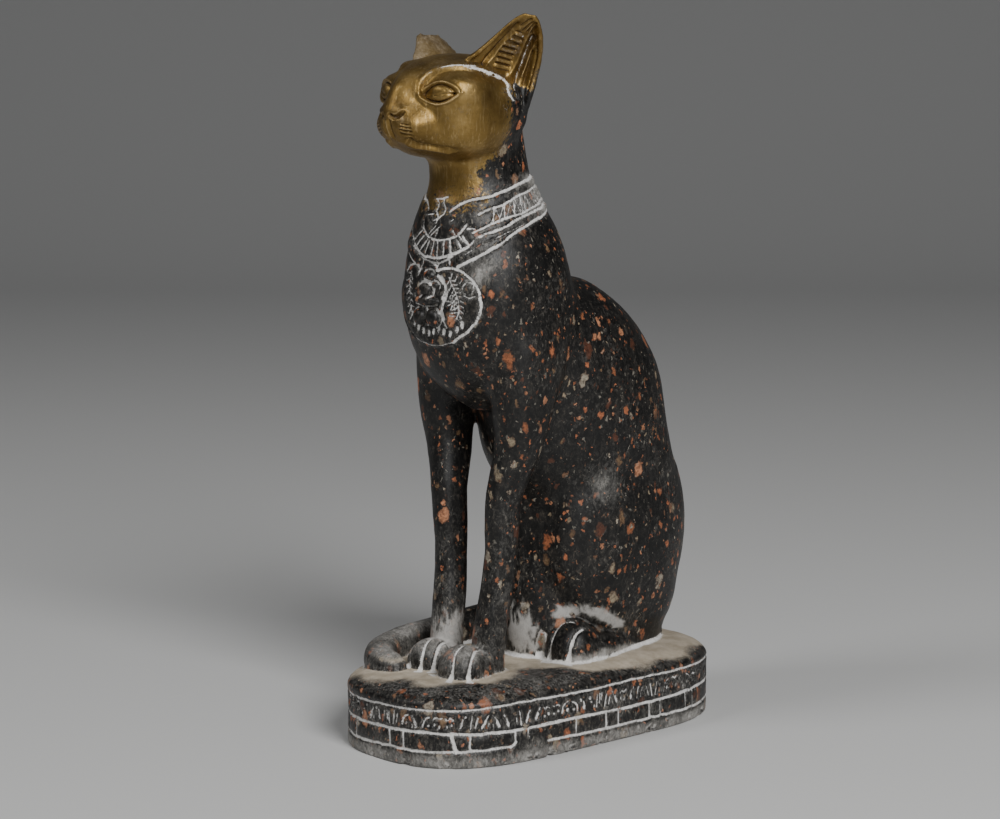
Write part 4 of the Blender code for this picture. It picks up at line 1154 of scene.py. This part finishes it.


# The one material: stone, then gold, film with a painted knee sheen, dust and chalk, each laid over the last
# by its mask.
def statueMaterial():
    material = bpy.data.materials.new("blackFleckedStone")
    material.use_nodes = True
    tree = material.node_tree
    shader = tree.nodes["Principled BSDF"]
    where = node(tree, "ShaderNodeTexCoord").outputs["Object"]
    chalk, gold, dust, hazeAndSheen, hollow = (node(tree, "ShaderNodeAttribute", attribute_name=name).outputs["Fac"]
                                       for name in ("chalk", "gold", "dust", "hazeAndSheen", "hollow"))
    plus, times, most = (partial(maths, tree, kind) for kind in ("ADD", "MULTIPLY", "MAXIMUM"))
    over, edge, tones, cloud = (partial(make, tree) for make in (mixed, step, ramped, noiseOf))

    # the pattern's place, pushed about by two sizes of noise and drawn out upward
    moved = where
    for scale, push in ((330.0, 0.0036), (1200.0, 0.0011)):
        away = node(tree, "ShaderNodeVectorMath", {0: cloud(where, scale, 2.0, 0.6, "Color"),
                                                   1: (-0.5, -0.5, -0.5)}, operation="ADD").outputs[0]
        away = node(tree, "ShaderNodeVectorMath", {0: away, "Scale": push}, operation="SCALE").outputs[0]
        moved = node(tree, "ShaderNodeVectorMath", {0: moved, 1: away}, operation="ADD").outputs[0]
    turned = drawnOut(tree, moved, (0.25, 0.12, 0.6), (1, 1, 0.62))
    drawn = drawnOut(tree, moved, (0.06, 0.05, 0), (1, 1, 0.42))
    grain = cloud(drawn, 1250.0, 3.0, 0.62)

    # black stone with chips of three sizes, specks and scratches
    stone = tones(cloud(where, 42.0, 3.0, 0.6), finish["stone"])
    stone = over(1.0, stone, tones(cloud(drawn, 430.0, 3.0, 0.65), finish["fibre"]), "MULTIPLY")
    stone = over(1.0, stone, tones(grain, finish["grain"]), "MULTIPLY")
    inner = tones(cloud(moved, 820.0, 3.0, 0.65), finish["chipInner"])
    masks = []
    for scale, share, reach in finish["chips"]:
        chip = placed(tree, chips, {"Vector": turned, "Scale": scale, "Share": share, "Reach": reach})
        hue = over(1.0, tones(chip["Hue"], finish["hues"], "CONSTANT"), inner, "MULTIPLY")
        hue = over(edge(chip["Depth"], 0.16, 0.0), hue, finish["chipRim"])
        stone = over(chip["Mask"], stone, hue)
        masks.append(chip["Mask"])
    speck = placed(tree, chips, {"Vector": drawn, "Scale": 1000.0, "Share": 0.22, "Reach": 0.42})
    stone = over(times(speck["Hue"], 0.8, speck["Mask"]), stone, finish["speck"])
    scratch = placed(tree, scratches, {"Vector": where, "Amount": 0.7})["Mask"]
    stone = over(times(scratch, 0.5), stone, finish["scratch"])

    # gold paint, darker in the hollows, with a painted highlight on the ridges
    streaks = cloud(drawnOut(tree, where, (0.5, 0.6, 0.2), (1100, 1100, 110)), 1.0, 3.0, 0.6)
    patchy = cloud(where, 75.0, 4.0, 0.62)
    paint = tones(patchy, finish["paint"])
    paint = over(times(edge(streaks, 0.52, 0.72), 0.25), paint, finish["paintStreak"])
    paint = over(times(edge(grain, 0.56, 0.74), 0.25), paint, finish["paintGrain"])
    paint = over(edge(hollow, 0.03, 0.26), paint, finish["paintHollow"])
    # painted highlight: the gold lightened on ridges and edges
    paint = over(times(edge(hollow, -0.05, -0.26), 0.65), paint, finish["paintedRidgeHighlight"])
    ragged = plus(times(cloud(where, 230.0, 3.0, 0.65), 6.0), times(cloud(where, 1100.0, 3.0, 0.7), 7.0),
                  -6.5)
    goldMask = edge(plus(gold, ragged), -0.8, 0.8)

    # grey film with the painted knee sheen, dust, and chalk with ragged and worn edges
    cloudy = cloud(where, 95.0, 4.0, 0.65)
    filmAndSheen = times(edge(plus(hazeAndSheen, times(cloudy, 1.1), times(grain, 0.9)), 1.05, 1.95), 0.80)
    filmTone = over(edge(plus(hazeAndSheen, grain, cloudy), 1.35, 2.3), *finish["filmAndSheen"])
    crumbly = cloud(where, 1500.0, 3.0, 0.7)
    worn = edge(cloud(where, 130.0, 3.0, 0.6), 0.58, 0.78)
    chalkMask = edge(plus(chalk, times(crumbly, 0.9), -0.43, times(worn, -0.42)), -0.13, 0.15)
    bloom = times(edge(chalk, -1.3, 0.15), edge(grain, 0.42, 0.70), 0.40)
    dustMask = edge(plus(dust, times(cloudy, 0.7), times(grain, 0.3)), 0.62, 1.32)
    colour = over(filmAndSheen, over(goldMask, stone, paint), filmTone)
    colour = over(bloom, colour, finish["bloom"])
    colour = over(times(dustMask, 0.95), colour, tones(cloud(where, 160.0, 4.0, 0.65), finish["dust"]))
    colour = over(chalkMask, colour, tones(cloud(where, 420.0, 4.0, 0.7), finish["chalk"]))
    tree.links.new(colour, shader.inputs["Base Color"])

    # dry powder is dull and not metallic, and lies unevenly
    dry = most(chalkMask, dustMask, filmAndSheen)
    bare = maths(tree, "SUBTRACT", 1.0, dry)
    tree.links.new(times(goldMask, bare, finish["metal"]), shader.inputs["Metallic"])
    satin = plus(times(grain, 0.18), 0.30, times(patchy, 0.10))
    tree.links.new(most(satin, times(dry, 0.88)), shader.inputs["Roughness"])
    shader.inputs["Specular IOR Level"].default_value = finish["specular"]
    height = plus(times(grain, 0.45), times(scratch, 0.3), times(most(*masks), -0.15),
                  times(streaks, goldMask, 0.25), times(crumbly, dry, 0.7))
    relief = node(tree, "ShaderNodeBump", {"Height": height, "Strength": finish["bumpStrength"],
                                           "Distance": finish["bumpDistance"]})
    tree.links.new(relief.outputs[0], shader.inputs["Normal"])
    return material


mesh.materials.clear()
mesh.materials.append(statueMaterial())
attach(statue, "root")
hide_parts("cat_statue")
print("materials made")

view = dict(turn=48.0, away=0.966, height=0.254, down=8.32, lens=100.48, shift=-0.031)
camera = bpy.data.objects.new("camera", bpy.data.cameras.new("camera"))
bpy.context.scene.collection.objects.link(camera)
turn = math.radians(view["turn"])
camera.location = (math.sin(turn) * view["away"], -math.cos(turn) * view["away"], view["height"])
camera.rotation_euler = (math.radians(90 - view["down"]), 0, turn)
camera.data.lens = view["lens"]
camera.data.shift_x = view["shift"]
bpy.context.scene.camera = camera

# Floor that rises far behind the statue: a share of the squared distance beyond a place.
stage = dict(halfWidth=6.0, front=-4.0, riseFrom=1.5, back=4.5, rise=0.4,
             colour=(0.72, 0.72, 0.71), roughness=0.8)
behind = np.linspace(stage["riseFrom"], stage["back"], 40)
across, away = np.meshgrid(np.linspace(-stage["halfWidth"], stage["halfWidth"], 3),
                           [stage["front"], 0.0, *behind])
rise = stage["rise"] * np.maximum(away - stage["riseFrom"], 0.0) ** 2
c, s = math.cos(turn), math.sin(turn)
floorPoints = np.stack([across * c - away * s, across * s + away * c, rise], -1)
i, j = (index.ravel() for index in np.meshgrid(np.arange(len(rise) - 1), np.arange(2), indexing="ij"))
floorFaces = np.stack([i * 3 + j, i * 3 + j + 1, i * 3 + j + 4, i * 3 + j + 3], 1)
floor = makeObject("floor", floorPoints.reshape(-1, 3), floorFaces.tolist())
floorMesh = floor.data
floorMesh.shade_smooth()
floorPaint = bpy.data.materials.new("paleFloor")
floorPaint.use_nodes = True
floorShader = floorPaint.node_tree.nodes["Principled BSDF"]
floorShader.inputs["Base Color"].default_value = (*stage["colour"], 1)
floorShader.inputs["Roughness"].default_value = stage["roughness"]
floorMesh.materials.append(floorPaint)


# Round soft lamp at a place, turned towards a point.
def areaLight(name, location, aim, size, power):
    lamp = bpy.data.lights.new(name, "AREA")
    lamp.shape, lamp.size, lamp.energy = "DISK", size, power
    item = bpy.data.objects.new(name, lamp)
    item.location = location
    offset = np.array(aim) - np.array(location)
    item.rotation_euler = (math.acos(-offset[2] / np.linalg.norm(offset)), 0,
                           math.atan2(offset[0], -offset[1]) + math.pi)
    bpy.context.scene.collection.objects.link(item)


# place, what it is turned to, size and power of each lamp, and the light from all round
lights = dict(keyLight=((1.05, -0.35, 0.85), (0, 0, 0.13), 0.60, 15),
              frontLight=((-0.25, -1.0, 1.05), (0, 0, 0.16), 0.45, 4.5))
surround = dict(colour=(0.75, 0.76, 0.78), strength=0.11)
for name, values in lights.items():
    areaLight(name, *values)
world = bpy.data.worlds.new("studio")
world.use_nodes = True
sky = world.node_tree.nodes["Background"]
sky.inputs["Color"].default_value = (*surround["colour"], 1)
sky.inputs["Strength"].default_value = surround["strength"]
bpy.context.scene.world = world
